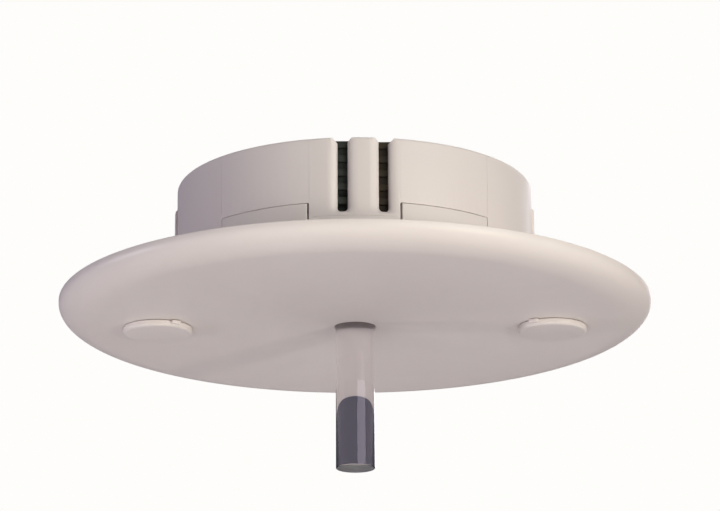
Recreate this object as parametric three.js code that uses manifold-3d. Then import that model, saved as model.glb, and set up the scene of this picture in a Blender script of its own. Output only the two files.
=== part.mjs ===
// Ceiling heat detector: a round cover plate, a clear light guide through its middle, and a housing
// behind it. Millimetres, +Z up into the ceiling. The origin is the centre of the plate's back, on the
// ceiling's surface, and the front with the two cable slots faces -Y.

import * as THREE from 'three';
import { mergeVertices } from 'three/addons/utils/BufferGeometryUtils.js';
import Module from 'manifold-3d';

const wasm = await Module();
wasm.setup();

// ---------------------------------------------------------------- clearances
const seatGap = 0.3;            // between pieces that rest on each other or are cut by each other
const slideGap = 0.2;           // round a piece that pulls out, or a shank in its hole

// ---------------------------------------------------------------- cover plate
const plateRadius = 90;
const plateDepth = 6.8;         // ceiling to underside
const plateWall = 2.5;
const plateEdgeBand = 0.9;      // straight band at the back of the rounded edge
const plateEdgeReach = 11.2;    // how far the rounded edge reaches in
const plateRimWidth = 3;        // the back rim that meets the ceiling
const bossWall = 3.4;
const bossTop = 6;
const ribWidth = 2.6;

// ---------------------------------------------------------------- screw wells, caps and fixing screws
const fixingMargin = 5.6;       // from the can's wall out to a fixing screw's middle
const wellRadius = 9;
const wellWall = 2;
const wellFloor = 2.2;
const capOverlap = 1.5;         // how far a cap covers the plate round its well
const capProud = 2;
const capRounding = 0.8;
const capSkirtWall = 1.6;
const capSkirtHeight = 1.8;
const nibWidth = 3;
const nibLength = 1.3;
const nibHeight = 1;
const nibAngle = 57;            // degrees from the direction of the plate's middle towards the front
const notchWidth = 3;
const notchDepth = 0.8;
const fixingScrew = { shank: 2.1, head: 4.2, headHeight: 2.4, length: 18, slot: 1, slotDepth: 1.2 };

// ---------------------------------------------------------------- light guide
const rodRadius = 5.9;
const rodDrop = 44;             // below the plate's underside
const rodChamfer = 0.3;
const rodHead = 2.8;            // above the boss
const ringThickness = 1.2;
const ringWidth = 3.2;
const ringGroove = 0.8;         // depth of the groove in the rod
const ringOpening = 50;         // degrees left open in the ring

// ---------------------------------------------------------------- can
const canRadius = 54.4;
const canWall = 2.5;
const canTop = 36.1;
const canFloor = 2;
const canRounding = 0.8;
const lugProud = 0.7;
const lugTop = 28.6;
const lugWidth = 15;
const slotBottom = 13.6;
const slots = [
  { name: 'left', x: -3.6, width: 3.1, color: 0x1b211c },
  { name: 'right', x: 8.8, width: 3, color: 0x241c18 },
];
const windowStart = 14.2;       // degrees round from the front, to each side and mirrored at the back
const windowEnd = 46;
const collarTop = 16.2;
const collarGap = 0.5;          // gap between a collar segment and the front or back pad
const towerHeight = 10;
const towerRadius = 4.2;
const towerMargin = 0.9;        // from a tower to the can's wall
const towerWeb = 2;             // thickness of the web between them
const housingScrew = { shank: 1.75, head: 3.2, headHeight: 2, length: 15, slot: 0.9, slotDepth: 1 };

// ---------------------------------------------------------------- cable seals
const sealMargin = 2.3;         // beyond the slot on each side
const sealDepth = 4.4;
const sealRecess = 0.2;         // from the can's rim down to a seal's top
const sealRibPitch = 4.3;
const sealRibHeight = 2.2;
const sealRibDepth = 1.4;

// ---------------------------------------------------------------- lid
const lidThickness = 2;
const lidRecess = 0.9;          // below the can's rim
const ledgeDepth = 3.4;
const ledgeWidth = 5;
const ledgeAngles = [70, 180, 290];
const lidTab = { x: 18, y: 2.4, height: 0.7 };
const lidReliefGap = 2;         // behind the seals, for the cables

// ---------------------------------------------------------------- board and what is on it
const boardMargin = 0.6;        // from the board's edge to the towers
const boardThickness = 1.6;
const boardScrewInset = 4.5;    // from the board's edge to its screws
const boardScrewAngles = [60, 180, 300];
const boardPostRadius = 3;
const boardScrew = { shank: 1.1, head: 2.4, headHeight: 1.5, length: 7, slot: 0.7, slotDepth: 0.8 };
const led = { radius: 2.5, flange: 2.95, flangeHeight: 1, height: 4.2, gap: 0.7 };
const thermistorBead = 1.4;
const leadRadius = 0.35;
const leadSpread = 1.7;
const sensorAt = { x: 0, y: 0.5 };  // places on the board are shares of its radius
const sensorHole = 4;
const referenceAt = { x: 0.3, y: 0.81 };
const referenceHeight = 2;
const terminal = { width: 27, depth: 10, height: 10.5, pitch: 6.4, entry: 3.4, entryLift: 1, well: 2.3 };
const terminalAt = { x: 0.055, y: -0.643 };
const terminalCount = 4;
const terminalEntryDepth = 6;
const terminalWellDepth = 4.5;
const terminalScrewHeight = 3;
const terminalSlot = { width: 0.7, depth: 0.8 };
const controller = { x: -0.52, y: -0.1, width: 10.3, depth: 7.5, height: 2.3, pins: 8, pitch: 1.27 };
const pin = { width: 0.45, reach: 1.1, thickness: 0.3, standoff: 0.2 };
const capacitors = [
  { x: 0.52, y: -0.14, radius: 4, height: 9.5 },
  { x: 0.74, y: 0.12, radius: 3.2, height: 7.5 },
];
const rectifier = { x: -0.74, y: 0.19, width: 7, depth: 6, height: 2.6 };
const thyristor = { x: -0.81, y: -0.19, width: 4.6, depth: 3.6, height: 5 };
const resistors = [
  { x: -0.29, y: 0.29 },
  { x: -0.29, y: 0.4 },
  { x: 0.33, y: 0.29 },
  { x: 0.33, y: 0.4 },
];
const resistor = { radius: 1.2, waist: 0.95, length: 6.4, cap: 1.3, taper: 0.4 };
const capacitorEdge = 0.5;
const capacitorWaist = 1.9;
const bodyChamfer = 0.5;

// ---------------------------------------------------------------- fineness of round faces
const roundFine = 60;
const roundMedium = 28;
const roundSmall = 14;
const edgeSteps = 4;
const overshoot = 1;            // how far a cutting solid runs past the face it cuts
const weldDistance = 1e-4;

// ---------------------------------------------------------------- sizes worked out from the above
const underside = -plateDepth;
const plateInside = underside + plateWall;
const rodHole = rodRadius + slideGap;
const bossRadius = rodHole + bossWall;
const canBottom = seatGap;
const canInside = canRadius - canWall;
const canFloorTop = canBottom + canFloor;
const wellOuter = wellRadius + wellWall;
const capRadius = wellRadius + capOverlap;
const wellFloorUnder = -wellFloor;
const fixingX = canRadius + fixingMargin;
const ribRadius = canInside - towerRadius - towerMargin;
const rodTop = bossTop + rodHead;
const boardBottom = rodTop + led.gap + led.height + seatGap;
const boardRadius = ribRadius - towerRadius - boardMargin;
const boardScrewCircle = boardRadius - boardScrewInset;
const boardTop = boardBottom + boardThickness;
const partsBottom = boardTop + seatGap;
const postTop = boardBottom - seatGap;
const lidTop = canTop - lidRecess;
const lidBottom = lidTop - lidThickness;
const ledgeTop = lidBottom - seatGap;

// ---------------------------------------------------------------- materials
function plastic(color, roughness) {
  return new THREE.MeshStandardMaterial({ color, roughness, metalness: 0 });
}

function metal(color, roughness) {
  return new THREE.MeshStandardMaterial({ color, roughness, metalness: 1 });
}

const whiteShell = plastic(0xe6ded6, 0.45);
const housingShell = plastic(0xdcd5d0, 0.48);
const blackBody = plastic(0x1c1c1f, 0.5);
const boardGreen = plastic(0x2f5d3a, 0.55);
const terminalGreen = plastic(0x3c7a4a, 0.5);
const resistorBody = plastic(0x9cb7c4, 0.5);
const ledRed = plastic(0xb02020, 0.2);
const capacitorSleeve = plastic(0x20283a, 0.35);
const beadEpoxy = plastic(0x3a2c20, 0.4);
const steel = metal(0xb8b8ba, 0.35);
const acrylic = new THREE.MeshStandardMaterial({
  color: 0xe8ecee,
  roughness: 0.05,
  metalness: 0,
  transparent: true,
  opacity: 0.35,
});

// ---------------------------------------------------------------- shape helpers
function solidOf(geometry) {
  const bare = geometry.clone();
  bare.deleteAttribute('normal');
  bare.deleteAttribute('uv');
  const welded = mergeVertices(bare, weldDistance);
  const index = welded.index.array;
  const corners = [];
  for (let i = 0; i < index.length; i += 3) {
    const [a, b, c] = [index[i], index[i + 1], index[i + 2]];
    if (a !== b && b !== c && c !== a) {
      corners.push(a, b, c);
    }
  }
  const vertProperties = new Float32Array(welded.attributes.position.array);
  const triVerts = new Uint32Array(corners);
  return new wasm.Manifold(new wasm.Mesh({ numProp: 3, vertProperties, triVerts }));
}

function geometryOf(solid) {
  const { numProp, vertProperties, triVerts } = solid.getMesh();
  const positions = new Float32Array((vertProperties.length / numProp) * 3);
  for (let i = 0; i < positions.length / 3; i += 1) {
    positions.set(vertProperties.subarray(i * numProp, i * numProp + 3), i * 3);
  }
  const geometry = new THREE.BufferGeometry();
  geometry.setAttribute('position', new THREE.BufferAttribute(positions, 3));
  geometry.setIndex(new THREE.BufferAttribute(new Uint32Array(triVerts), 1));
  geometry.computeVertexNormals();
  return geometry;
}

// A turned shape round +Z. The profile is [radius, height] pairs, with the outside running upwards.
function turned(profile, segments) {
  const points = profile.map(([radius, height]) => new THREE.Vector2(radius, height));
  return new THREE.LatheGeometry(points, segments).rotateX(Math.PI / 2);
}

// A turned ring, whose profile closes on itself.
function turnedRing(profile, segments) {
  return turned([...profile, profile[0]], segments);
}

function cylinder(radius, bottom, top, x, y, segments) {
  const geometry = new THREE.CylinderGeometry(radius, radius, top - bottom, segments);
  return geometry.rotateX(Math.PI / 2).translate(x, y, (top + bottom) / 2);
}

function block(x0, x1, y0, y1, z0, z1) {
  const geometry = new THREE.BoxGeometry(x1 - x0, y1 - y0, z1 - z0);
  return geometry.translate((x0 + x1) / 2, (y0 + y1) / 2, (z0 + z1) / 2);
}

// An angle round from the front (-Y), positive towards +X, as radians from +X.
function fromFront(degrees) {
  return THREE.MathUtils.degToRad(degrees - 90);
}

// A standing piece of a ring between two radii and two angles round from the front.
function ringSector(inner, outer, start, end, bottom, top) {
  const shape = new THREE.Shape();
  shape.absarc(0, 0, outer, start, end, false);
  shape.absarc(0, 0, inner, end, start, true);
  shape.closePath();
  const settings = { depth: top - bottom, bevelEnabled: false, curveSegments: edgeSteps + 2 };
  return new THREE.ExtrudeGeometry(shape, settings).translate(0, 0, bottom);
}

function join(geometries) {
  return geometries.map(solidOf).reduce((whole, next) => whole.add(next));
}

function cut(solid, geometries) {
  return geometries.map(solidOf).reduce((rest, next) => rest.subtract(next), solid);
}

// A place on the board, from shares of the board's radius.
function onBoard(place) {
  return [place.x * boardRadius, place.y * boardRadius];
}

function named(name, geometry, material) {
  const mesh = new THREE.Mesh(geometry, material);
  mesh.name = name;
  return mesh;
}

// A quarter of an ellipse from the flat underside out and up to the straight band.
function roundedEdge(innerRadius, reach, bottom, rise) {
  const points = [];
  for (let step = 0; step <= edgeSteps; step += 1) {
    const turn = (Math.PI / 2) * (step / edgeSteps);
    points.push([innerRadius + reach * Math.sin(turn), bottom + rise * (1 - Math.cos(turn))]);
  }
  return points;
}

// The four windows of the can's wall, as the side of the front they are on and the start of the turn.
const windowPlaces = [
  { side: 1, middle: 0 },
  { side: -1, middle: 0 },
  { side: 1, middle: 180 },
  { side: -1, middle: 180 },
];

function windowAngles(place, startGap, endGap) {
  const startTurn = windowStart + THREE.MathUtils.radToDeg(startGap / canRadius);
  const endTurn = windowEnd + THREE.MathUtils.radToDeg(endGap / canRadius);
  const turns = [startTurn, endTurn].map((turn) => fromFront(place.middle + place.side * turn));
  return [Math.min(...turns), Math.max(...turns)];
}

// ---------------------------------------------------------------- cover plate
function coverPlate() {
  const flatRadius = plateRadius - plateEdgeReach;
  const outerEdge = roundedEdge(flatRadius, plateEdgeReach, underside, plateDepth - plateEdgeBand);
  const insideRadius = plateRadius - plateRimWidth;
  const insideRise = -plateInside - plateEdgeBand;
  const insideReach = plateEdgeReach - plateRimWidth / 2;
  const innerEdge = roundedEdge(insideRadius - insideReach, insideReach, plateInside, insideRise).reverse();
  const profile = [
    [rodHole, underside],
    ...outerEdge,
    [plateRadius, 0],
    [insideRadius, 0],
    ...innerEdge,
    [bossRadius, plateInside],
    [bossRadius, bossTop],
    [rodHole, bossTop],
  ];
  const rib = [
    [ribRadius - ribWidth / 2, plateInside - seatGap],
    [ribRadius + ribWidth / 2, plateInside - seatGap],
    [ribRadius + ribWidth / 2, 0],
    [ribRadius - ribWidth / 2, 0],
  ];
  const added = [turnedRing(profile, roundFine), turnedRing(rib, roundFine)];
  for (const place of windowPlaces) {
    const [start, end] = windowAngles(place, collarGap, 0);
    added.push(ringSector(canInside, canRadius, start, end, plateInside - seatGap, collarTop));
  }
  const removed = [];
  for (const side of [-1, 1]) {
    const x = side * fixingX;
    const screwX = side * ribRadius;
    added.push(cylinder(wellOuter, plateInside - seatGap, 0, x, 0, roundMedium));
    added.push(cylinder(towerRadius, plateInside - seatGap, 0, screwX, 0, roundSmall));
    removed.push(cylinder(wellRadius, underside - overshoot, wellFloorUnder, x, 0, roundMedium));
    removed.push(cylinder(fixingScrew.shank + slideGap, underside, overshoot, x, 0, roundSmall));
    removed.push(cylinder(housingScrew.shank + slideGap, plateInside, overshoot, screwX, 0, roundSmall));
  }
  return named('cover_plate', geometryOf(cut(join(added), removed)), whiteShell);
}

// ---------------------------------------------------------------- screw caps
function screwCap(side, name) {
  const top = underside - slideGap;
  const bottom = underside - capProud;
  const skirtOuter = wellRadius - slideGap;
  const skirtInner = skirtOuter - capSkirtWall;
  const edge = roundedEdge(capRadius - capRounding, capRounding, bottom, capRounding);
  const profile = [
    [0, bottom],
    ...edge,
    [capRadius, top],
    [skirtOuter, top],
    [skirtOuter, top + capSkirtHeight],
    [skirtInner, top + capSkirtHeight],
    [skirtInner, top],
    [0, top],
  ];
  const nibTurn = THREE.MathUtils.degToRad(nibAngle);
  const nibReach = capRadius + nibLength;
  const nib = block(capRadius - overshoot, nibReach, -nibWidth / 2, nibWidth / 2, top - nibHeight, top);
  nib.rotateZ(side > 0 ? Math.PI + nibTurn : -nibTurn);
  const notchInner = capRadius - notchDepth;
  const notchOuter = capRadius + overshoot;
  const notchHalf = notchWidth / 2;
  const notch = block(notchInner, notchOuter, -notchHalf, notchHalf, top - notchDepth, top + slideGap);
  notch.rotateZ(side > 0 ? 0 : Math.PI);
  const solid = cut(join([turned(profile, roundMedium), nib]), [notch]);
  const mesh = named(name, geometryOf(solid), whiteShell);
  mesh.position.x = side * fixingX;
  return mesh;
}

// ---------------------------------------------------------------- screws
// A screw whose head's bearing face is at height 0 and whose shank runs along +Z or -Z.
function screwShape(size, shankUp) {
  const profile = [
    [0, -size.headHeight],
    [size.head, -size.headHeight],
    [size.head, 0],
    [size.shank, 0],
    [size.shank, size.length - size.shank],
    [size.shank / 3, size.length],
    [0, size.length],
  ];
  const reach = size.head + overshoot;
  const slotTop = size.slotDepth - size.headHeight;
  const slot = block(-reach, reach, -size.slot / 2, size.slot / 2, -size.headHeight - overshoot, slotTop);
  const solid = cut(solidOf(turned(profile, roundSmall)), [slot]);
  const geometry = geometryOf(solid);
  return shankUp ? geometry : geometry.rotateX(Math.PI);
}

function screw(name, size, shankUp, x, y, seat) {
  const mesh = named(name, screwShape(size, shankUp), steel);
  mesh.position.set(x, y, seat);
  return mesh;
}

// ---------------------------------------------------------------- light guide and its ring
function lightGuide() {
  const bottom = underside - rodDrop;
  const neck = rodRadius - ringGroove;
  const grooveTop = bossTop + seatGap + ringThickness + slideGap;
  const profile = [
    [0, bottom],
    [rodRadius - rodChamfer, bottom],
    [rodRadius, bottom + rodChamfer],
    [rodRadius, bossTop],
    [neck, bossTop],
    [neck, grooveTop],
    [rodRadius, grooveTop],
    [rodRadius, rodTop - rodChamfer],
    [rodRadius - rodChamfer, rodTop],
    [0, rodTop],
  ];
  return named('light_guide', turned(profile, roundMedium), acrylic);
}

function retainingRing() {
  const inner = rodRadius - ringGroove + slideGap;
  const outer = inner + ringWidth;
  const start = THREE.MathUtils.degToRad(ringOpening / 2);
  const end = Math.PI * 2 - start;
  const bottom = bossTop + seatGap;
  const settings = { depth: ringThickness, bevelEnabled: false, curveSegments: roundMedium };
  const shape = new THREE.Shape();
  shape.absarc(0, 0, outer, start, end, false);
  shape.absarc(0, 0, inner, end, start, true);
  shape.closePath();
  const geometry = new THREE.ExtrudeGeometry(shape, settings).translate(0, 0, bottom);
  return named('retaining_ring', geometry, steel);
}

// ---------------------------------------------------------------- can
function housingCan() {
  const centreHole = bossRadius + seatGap;
  const rimEdge = [];
  for (let step = 0; step <= edgeSteps; step += 1) {
    const turn = (Math.PI / 2) * (step / edgeSteps);
    rimEdge.push([
      canRadius - canRounding * (1 - Math.cos(turn)),
      canTop - canRounding * (1 - Math.sin(turn)),
    ]);
  }
  const cup = [
    [centreHole, canBottom],
    [canRadius, canBottom],
    ...rimEdge,
    [canInside, canTop],
    [canInside, canFloorTop],
    [centreHole, canFloorTop],
  ];
  const lugRing = [
    [canRadius - canWall / 2, canBottom],
    [canRadius + lugProud, canBottom],
    [canRadius + lugProud, lugTop - lugProud],
    [canRadius, lugTop],
    [canRadius - canWall / 2, lugTop],
  ];
  const lugReach = canRadius + lugProud + overshoot;
  const lugBand = block(-lugReach, lugReach, -lugWidth / 2, lugWidth / 2, -overshoot, canTop);
  const lugs = solidOf(turnedRing(lugRing, roundFine)).intersect(solidOf(lugBand));
  const added = [turnedRing(cup, roundFine)];
  const removed = [];
  const towerTop = canFloorTop + towerHeight;
  for (const side of [-1, 1]) {
    const x = side * ribRadius;
    const wallX = side * (canInside + canWall / 2);
    const [ribLow, ribHigh] = [Math.min(x, wallX), Math.max(x, wallX)];
    added.push(cylinder(towerRadius, canFloorTop - seatGap, towerTop, x, 0, roundSmall));
    const webHalf = towerWeb / 2;
    added.push(block(ribLow, ribHigh, -webHalf, webHalf, canFloorTop - seatGap, towerTop - towerWeb));
    removed.push(cylinder(housingScrew.shank + slideGap, -overshoot, towerTop + overshoot, x, 0, roundSmall));
  }
  for (const degrees of boardScrewAngles) {
    const turn = fromFront(degrees);
    const [x, y] = [boardScrewCircle * Math.cos(turn), boardScrewCircle * Math.sin(turn)];
    const pilotBottom = boardTop - boardScrew.length - slideGap;
    added.push(cylinder(boardPostRadius, canFloorTop - seatGap, postTop, x, y, roundSmall));
    removed.push(cylinder(boardScrew.shank + slideGap, pilotBottom, postTop + overshoot, x, y, roundSmall));
  }
  for (const degrees of ledgeAngles) {
    const inner = canInside - ledgeDepth;
    const outer = canRadius - canWall / 2;
    const ledge = block(inner, outer, -ledgeWidth / 2, ledgeWidth / 2, canFloorTop - seatGap, ledgeTop);
    added.push(ledge.rotateZ(fromFront(degrees)));
  }
  for (const place of windowPlaces) {
    const [start, end] = windowAngles(place, 0, seatGap);
    const inner = canInside - seatGap;
    const outer = canRadius + lugProud + overshoot;
    removed.push(ringSector(inner, outer, start, end, -overshoot, collarTop + seatGap));
  }
  for (const slot of slots) {
    const half = slot.width / 2;
    const front = -canRadius - overshoot;
    const back = -canInside + canWall;
    const foot = cylinder(half, 0, back - front, 0, 0, roundSmall);
    foot.rotateX(-Math.PI / 2).translate(slot.x, front, slotBottom + half);
    removed.push(block(slot.x - half, slot.x + half, front, back, slotBottom + half, canTop + overshoot));
    removed.push(foot);
  }
  const [sensorX, sensorY] = onBoard(sensorAt);
  removed.push(cylinder(sensorHole, -overshoot, canFloorTop + overshoot, sensorX, sensorY, roundSmall));
  return named('housing_can', geometryOf(cut(join(added).add(lugs), removed)), housingShell);
}

// ---------------------------------------------------------------- cable seals
function sealFront(slot) {
  const reach = Math.abs(slot.x) + slot.width / 2 + sealMargin;
  return -Math.sqrt(canInside ** 2 - reach ** 2) + seatGap;
}

function cableSeal(slot) {
  const half = slot.width / 2 + sealMargin;
  const front = sealFront(slot);
  const bottom = canFloorTop + seatGap;
  const top = canTop - sealRecess;
  const back = front + sealDepth;
  const pieces = [block(slot.x - half, slot.x + half, front + sealRibDepth, back, bottom, top)];
  const ribCount = Math.floor((top - bottom) / sealRibPitch);
  for (let rib = 0; rib < ribCount; rib += 1) {
    const low = top - sealRibHeight - rib * sealRibPitch;
    pieces.push(block(slot.x - half, slot.x + half, front, back - seatGap, low, low + sealRibHeight));
  }
  return named(`cable_seal_${slot.name}`, geometryOf(join(pieces)), plastic(slot.color, 0.7));
}

// ---------------------------------------------------------------- lid
function housingLid() {
  const radius = canInside - seatGap;
  const disc = cylinder(radius, lidBottom, lidTop, 0, 0, roundFine);
  const [tabX, tabY] = [lidTab.x / 2, lidTab.y / 2];
  const tab = block(-tabX, tabX, -tabY, tabY, lidTop - seatGap, lidTop + lidTab.height);
  const reliefMargin = sealMargin + seatGap;
  const reliefLeft = Math.min(...slots.map((slot) => slot.x - slot.width / 2)) - reliefMargin;
  const reliefRight = Math.max(...slots.map((slot) => slot.x + slot.width / 2)) + reliefMargin;
  const reliefFront = -canRadius;
  const reliefBack = Math.max(...slots.map(sealFront)) + sealDepth + lidReliefGap;
  const relief = block(reliefLeft, reliefRight, reliefFront, reliefBack, lidBottom - overshoot, canTop);
  return named('housing_lid', geometryOf(cut(join([disc, tab]), [relief])), housingShell);
}

// ---------------------------------------------------------------- circuit board
function circuitBoard() {
  const holes = boardScrewAngles.map((degrees) => {
    const turn = fromFront(degrees);
    const [x, y] = [boardScrewCircle * Math.cos(turn), boardScrewCircle * Math.sin(turn)];
    const radius = boardScrew.shank + seatGap;
    return cylinder(radius, boardBottom - overshoot, boardTop + overshoot, x, y, roundSmall);
  });
  const disc = solidOf(cylinder(boardRadius, boardBottom, boardTop, 0, 0, roundFine));
  return named('circuit_board', geometryOf(cut(disc, holes)), boardGreen);
}

function boardScrews() {
  return boardScrewAngles.map((degrees, index) => {
    const turn = fromFront(degrees);
    const [x, y] = [boardScrewCircle * Math.cos(turn), boardScrewCircle * Math.sin(turn)];
    return screw(`board_screw_${index + 1}`, boardScrew, false, x, y, partsBottom);
  });
}

// ---------------------------------------------------------------- parts under the board
function indicatorLed() {
  const top = boardBottom - seatGap;
  const domeMiddle = top - led.height + led.radius;
  const profile = [[0, domeMiddle - led.radius]];
  for (let step = 1; step <= edgeSteps; step += 1) {
    const turn = (Math.PI / 2) * (step / edgeSteps);
    profile.push([led.radius * Math.sin(turn), domeMiddle - led.radius * Math.cos(turn)]);
  }
  profile.push([led.radius, top - led.flangeHeight]);
  profile.push([led.flange, top - led.flangeHeight]);
  profile.push([led.flange, top]);
  profile.push([0, top]);
  return named('indicator_led', turned(profile, roundSmall), ledRed);
}

// A glass bead on two wire leads, from the bead's middle to the leads' far end.
function thermistor(name, place, beadHeight, leadEnd) {
  const [x, y] = onBoard(place);
  const ball = new THREE.SphereGeometry(thermistorBead, roundSmall, edgeSteps * 2);
  const bead = ball.translate(x, y, beadHeight);
  const low = Math.min(beadHeight, leadEnd);
  const high = Math.max(beadHeight, leadEnd);
  const leads = [-1, 1].map((side) => {
    const leadX = x + (side * leadSpread) / 2;
    return cylinder(leadRadius, low, high, leadX, y, edgeSteps * 2);
  });
  return named(name, geometryOf(join([bead, ...leads])), beadEpoxy);
}

// ---------------------------------------------------------------- parts on the board
function terminalX(index) {
  return onBoard(terminalAt)[0] + (index - (terminalCount - 1) / 2) * terminal.pitch;
}

function terminalBlock() {
  const top = partsBottom + terminal.height;
  const [middleX, middleY] = onBoard(terminalAt);
  const left = middleX - terminal.width / 2;
  const front = middleY - terminal.depth / 2;
  const body = block(left, left + terminal.width, front, front + terminal.depth, partsBottom, top);
  const removed = [];
  for (let index = 0; index < terminalCount; index += 1) {
    const x = terminalX(index);
    const half = terminal.entry / 2;
    const entryBottom = partsBottom + terminal.entryLift;
    const entryBack = front + terminalEntryDepth;
    const entryTop = entryBottom + terminal.entry;
    removed.push(block(x - half, x + half, front - overshoot, entryBack, entryBottom, entryTop));
    removed.push(cylinder(terminal.well, top - terminalWellDepth, top + overshoot, x, middleY, roundSmall));
  }
  return named('terminal_block', geometryOf(cut(solidOf(body), removed)), terminalGreen);
}

function terminalScrews() {
  const radius = terminal.well - slideGap;
  const bottom = partsBottom + terminal.height - terminalWellDepth + seatGap;
  const y = onBoard(terminalAt)[1];
  const meshes = [];
  for (let index = 0; index < terminalCount; index += 1) {
    const head = solidOf(cylinder(radius, 0, terminalScrewHeight, 0, 0, roundSmall));
    const half = terminalSlot.width / 2;
    const slotBase = terminalScrewHeight - terminalSlot.depth;
    const reach = radius + overshoot;
    const slot = block(-reach, reach, -half, half, slotBase, terminalScrewHeight + overshoot);
    const mesh = named(`terminal_screw_${index + 1}`, geometryOf(cut(head, [slot])), steel);
    mesh.position.set(terminalX(index), y, bottom);
    meshes.push(mesh);
  }
  return meshes;
}

function microcontroller() {
  const bodyBottom = partsBottom + pin.standoff;
  const [halfWidth, halfDepth] = [controller.width / 2, controller.depth / 2];
  const [x, y] = onBoard(controller);
  const bodyTop = bodyBottom + controller.height;
  const pieces = [block(x - halfWidth, x + halfWidth, y - halfDepth, y + halfDepth, bodyBottom, bodyTop)];
  const pinMiddle = bodyBottom + controller.height / 2;
  for (let index = 0; index < controller.pins; index += 1) {
    const pinX = x + (index - (controller.pins - 1) / 2) * controller.pitch;
    const [left, right] = [pinX - pin.width / 2, pinX + pin.width / 2];
    for (const side of [-1, 1]) {
      const near = y + side * (halfDepth - seatGap);
      const far = y + side * (halfDepth + pin.reach);
      const foot = far - side * pin.thickness;
      const [armLow, armHigh] = [Math.min(near, far), Math.max(near, far)];
      const [footLow, footHigh] = [Math.min(foot, far), Math.max(foot, far)];
      pieces.push(block(left, right, armLow, armHigh, pinMiddle, pinMiddle + pin.thickness));
      pieces.push(block(left, right, footLow, footHigh, partsBottom, pinMiddle + pin.thickness));
    }
  }
  return named('microcontroller', geometryOf(join(pieces)), blackBody);
}

function capacitor(size, index) {
  const top = partsBottom + size.height;
  const waistHeight = partsBottom + capacitorWaist;
  const profile = [
    [0, partsBottom],
    [size.radius - capacitorEdge, partsBottom],
    [size.radius, partsBottom + capacitorEdge],
    [size.radius, waistHeight - capacitorEdge],
    [size.radius - capacitorEdge, waistHeight],
    [size.radius, waistHeight + capacitorEdge],
    [size.radius, top - capacitorEdge],
    [size.radius - capacitorEdge, top],
    [0, top],
  ];
  const geometry = turned(profile, roundSmall);
  const mesh = named(`capacitor_${index + 1}`, geometry, capacitorSleeve);
  mesh.position.set(...onBoard(size), 0);
  return mesh;
}

// A moulded body on the board with its corners cut at the top.
function mouldedBody(name, size) {
  const shape = new THREE.Shape();
  shape.moveTo(-size.width / 2, 0);
  shape.lineTo(size.width / 2, 0);
  shape.lineTo(size.width / 2, size.height - bodyChamfer);
  shape.lineTo(size.width / 2 - bodyChamfer, size.height);
  shape.lineTo(bodyChamfer - size.width / 2, size.height);
  shape.lineTo(-size.width / 2, size.height - bodyChamfer);
  shape.closePath();
  const geometry = new THREE.ExtrudeGeometry(shape, { depth: size.depth, bevelEnabled: false });
  geometry.translate(0, 0, -size.depth / 2).rotateX(Math.PI / 2);
  const mesh = named(name, geometry, blackBody);
  mesh.position.set(...onBoard(size), partsBottom);
  return mesh;
}

function axialResistor(place, index) {
  const half = resistor.length / 2;
  const shoulder = half - resistor.cap;
  const waist = shoulder - resistor.taper;
  const profile = [
    [0, -half],
    [resistor.radius, -half],
    [resistor.radius, -shoulder],
    [resistor.waist, -waist],
    [resistor.waist, waist],
    [resistor.radius, shoulder],
    [resistor.radius, half],
    [0, half],
  ];
  const mesh = named(`resistor_${index + 1}`, turned(profile, roundSmall), resistorBody);
  mesh.rotation.y = Math.PI / 2;
  mesh.position.set(...onBoard(place), partsBottom + resistor.radius);
  return mesh;
}

// ---------------------------------------------------------------- assembly
const detector = new THREE.Group();
const fixingSeat = wellFloorUnder - seatGap;
const housingSeat = canFloorTop + towerHeight + seatGap;
const sensorBead = plateInside + seatGap + thermistorBead;

detector.add(coverPlate());
detector.add(screwCap(-1, 'screw_cap_left'), screwCap(1, 'screw_cap_right'));
detector.add(screw('fixing_screw_left', fixingScrew, true, -fixingX, 0, fixingSeat));
detector.add(screw('fixing_screw_right', fixingScrew, true, fixingX, 0, fixingSeat));
detector.add(lightGuide(), retainingRing());
detector.add(housingCan(), housingLid());
detector.add(screw('housing_screw_left', housingScrew, false, -ribRadius, 0, housingSeat));
detector.add(screw('housing_screw_right', housingScrew, false, ribRadius, 0, housingSeat));
detector.add(...slots.map(cableSeal));
detector.add(circuitBoard(), ...boardScrews());
detector.add(indicatorLed());
detector.add(thermistor('sensing_thermistor', sensorAt, sensorBead, postTop));
const referenceBead = partsBottom + referenceHeight + thermistorBead;
detector.add(thermistor('reference_thermistor', referenceAt, referenceBead, partsBottom));
detector.add(terminalBlock(), ...terminalScrews());
detector.add(microcontroller());
detector.add(...capacitors.map(capacitor));
detector.add(mouldedBody('bridge_rectifier', rectifier), mouldedBody('alarm_thyristor', thyristor));
detector.add(...resistors.map(axialResistor));

export default detector;
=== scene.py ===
"""A ceiling heat detector: cover plate, light guide, screw caps and the slotted housing behind the plate.

Every sub-assembly is a class. Its fields are sizes in millimetres, its build method makes the meshes, and the
finishes below dress them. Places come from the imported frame. Meshes are drawn in millimetres, and finished in
metres.
"""

import logging
import math
from dataclasses import dataclass, field
from enum import Enum
from typing import Any, Iterable, Sequence

import bmesh
import bpy
from mathutils import Matrix, Quaternion, Vector


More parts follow.
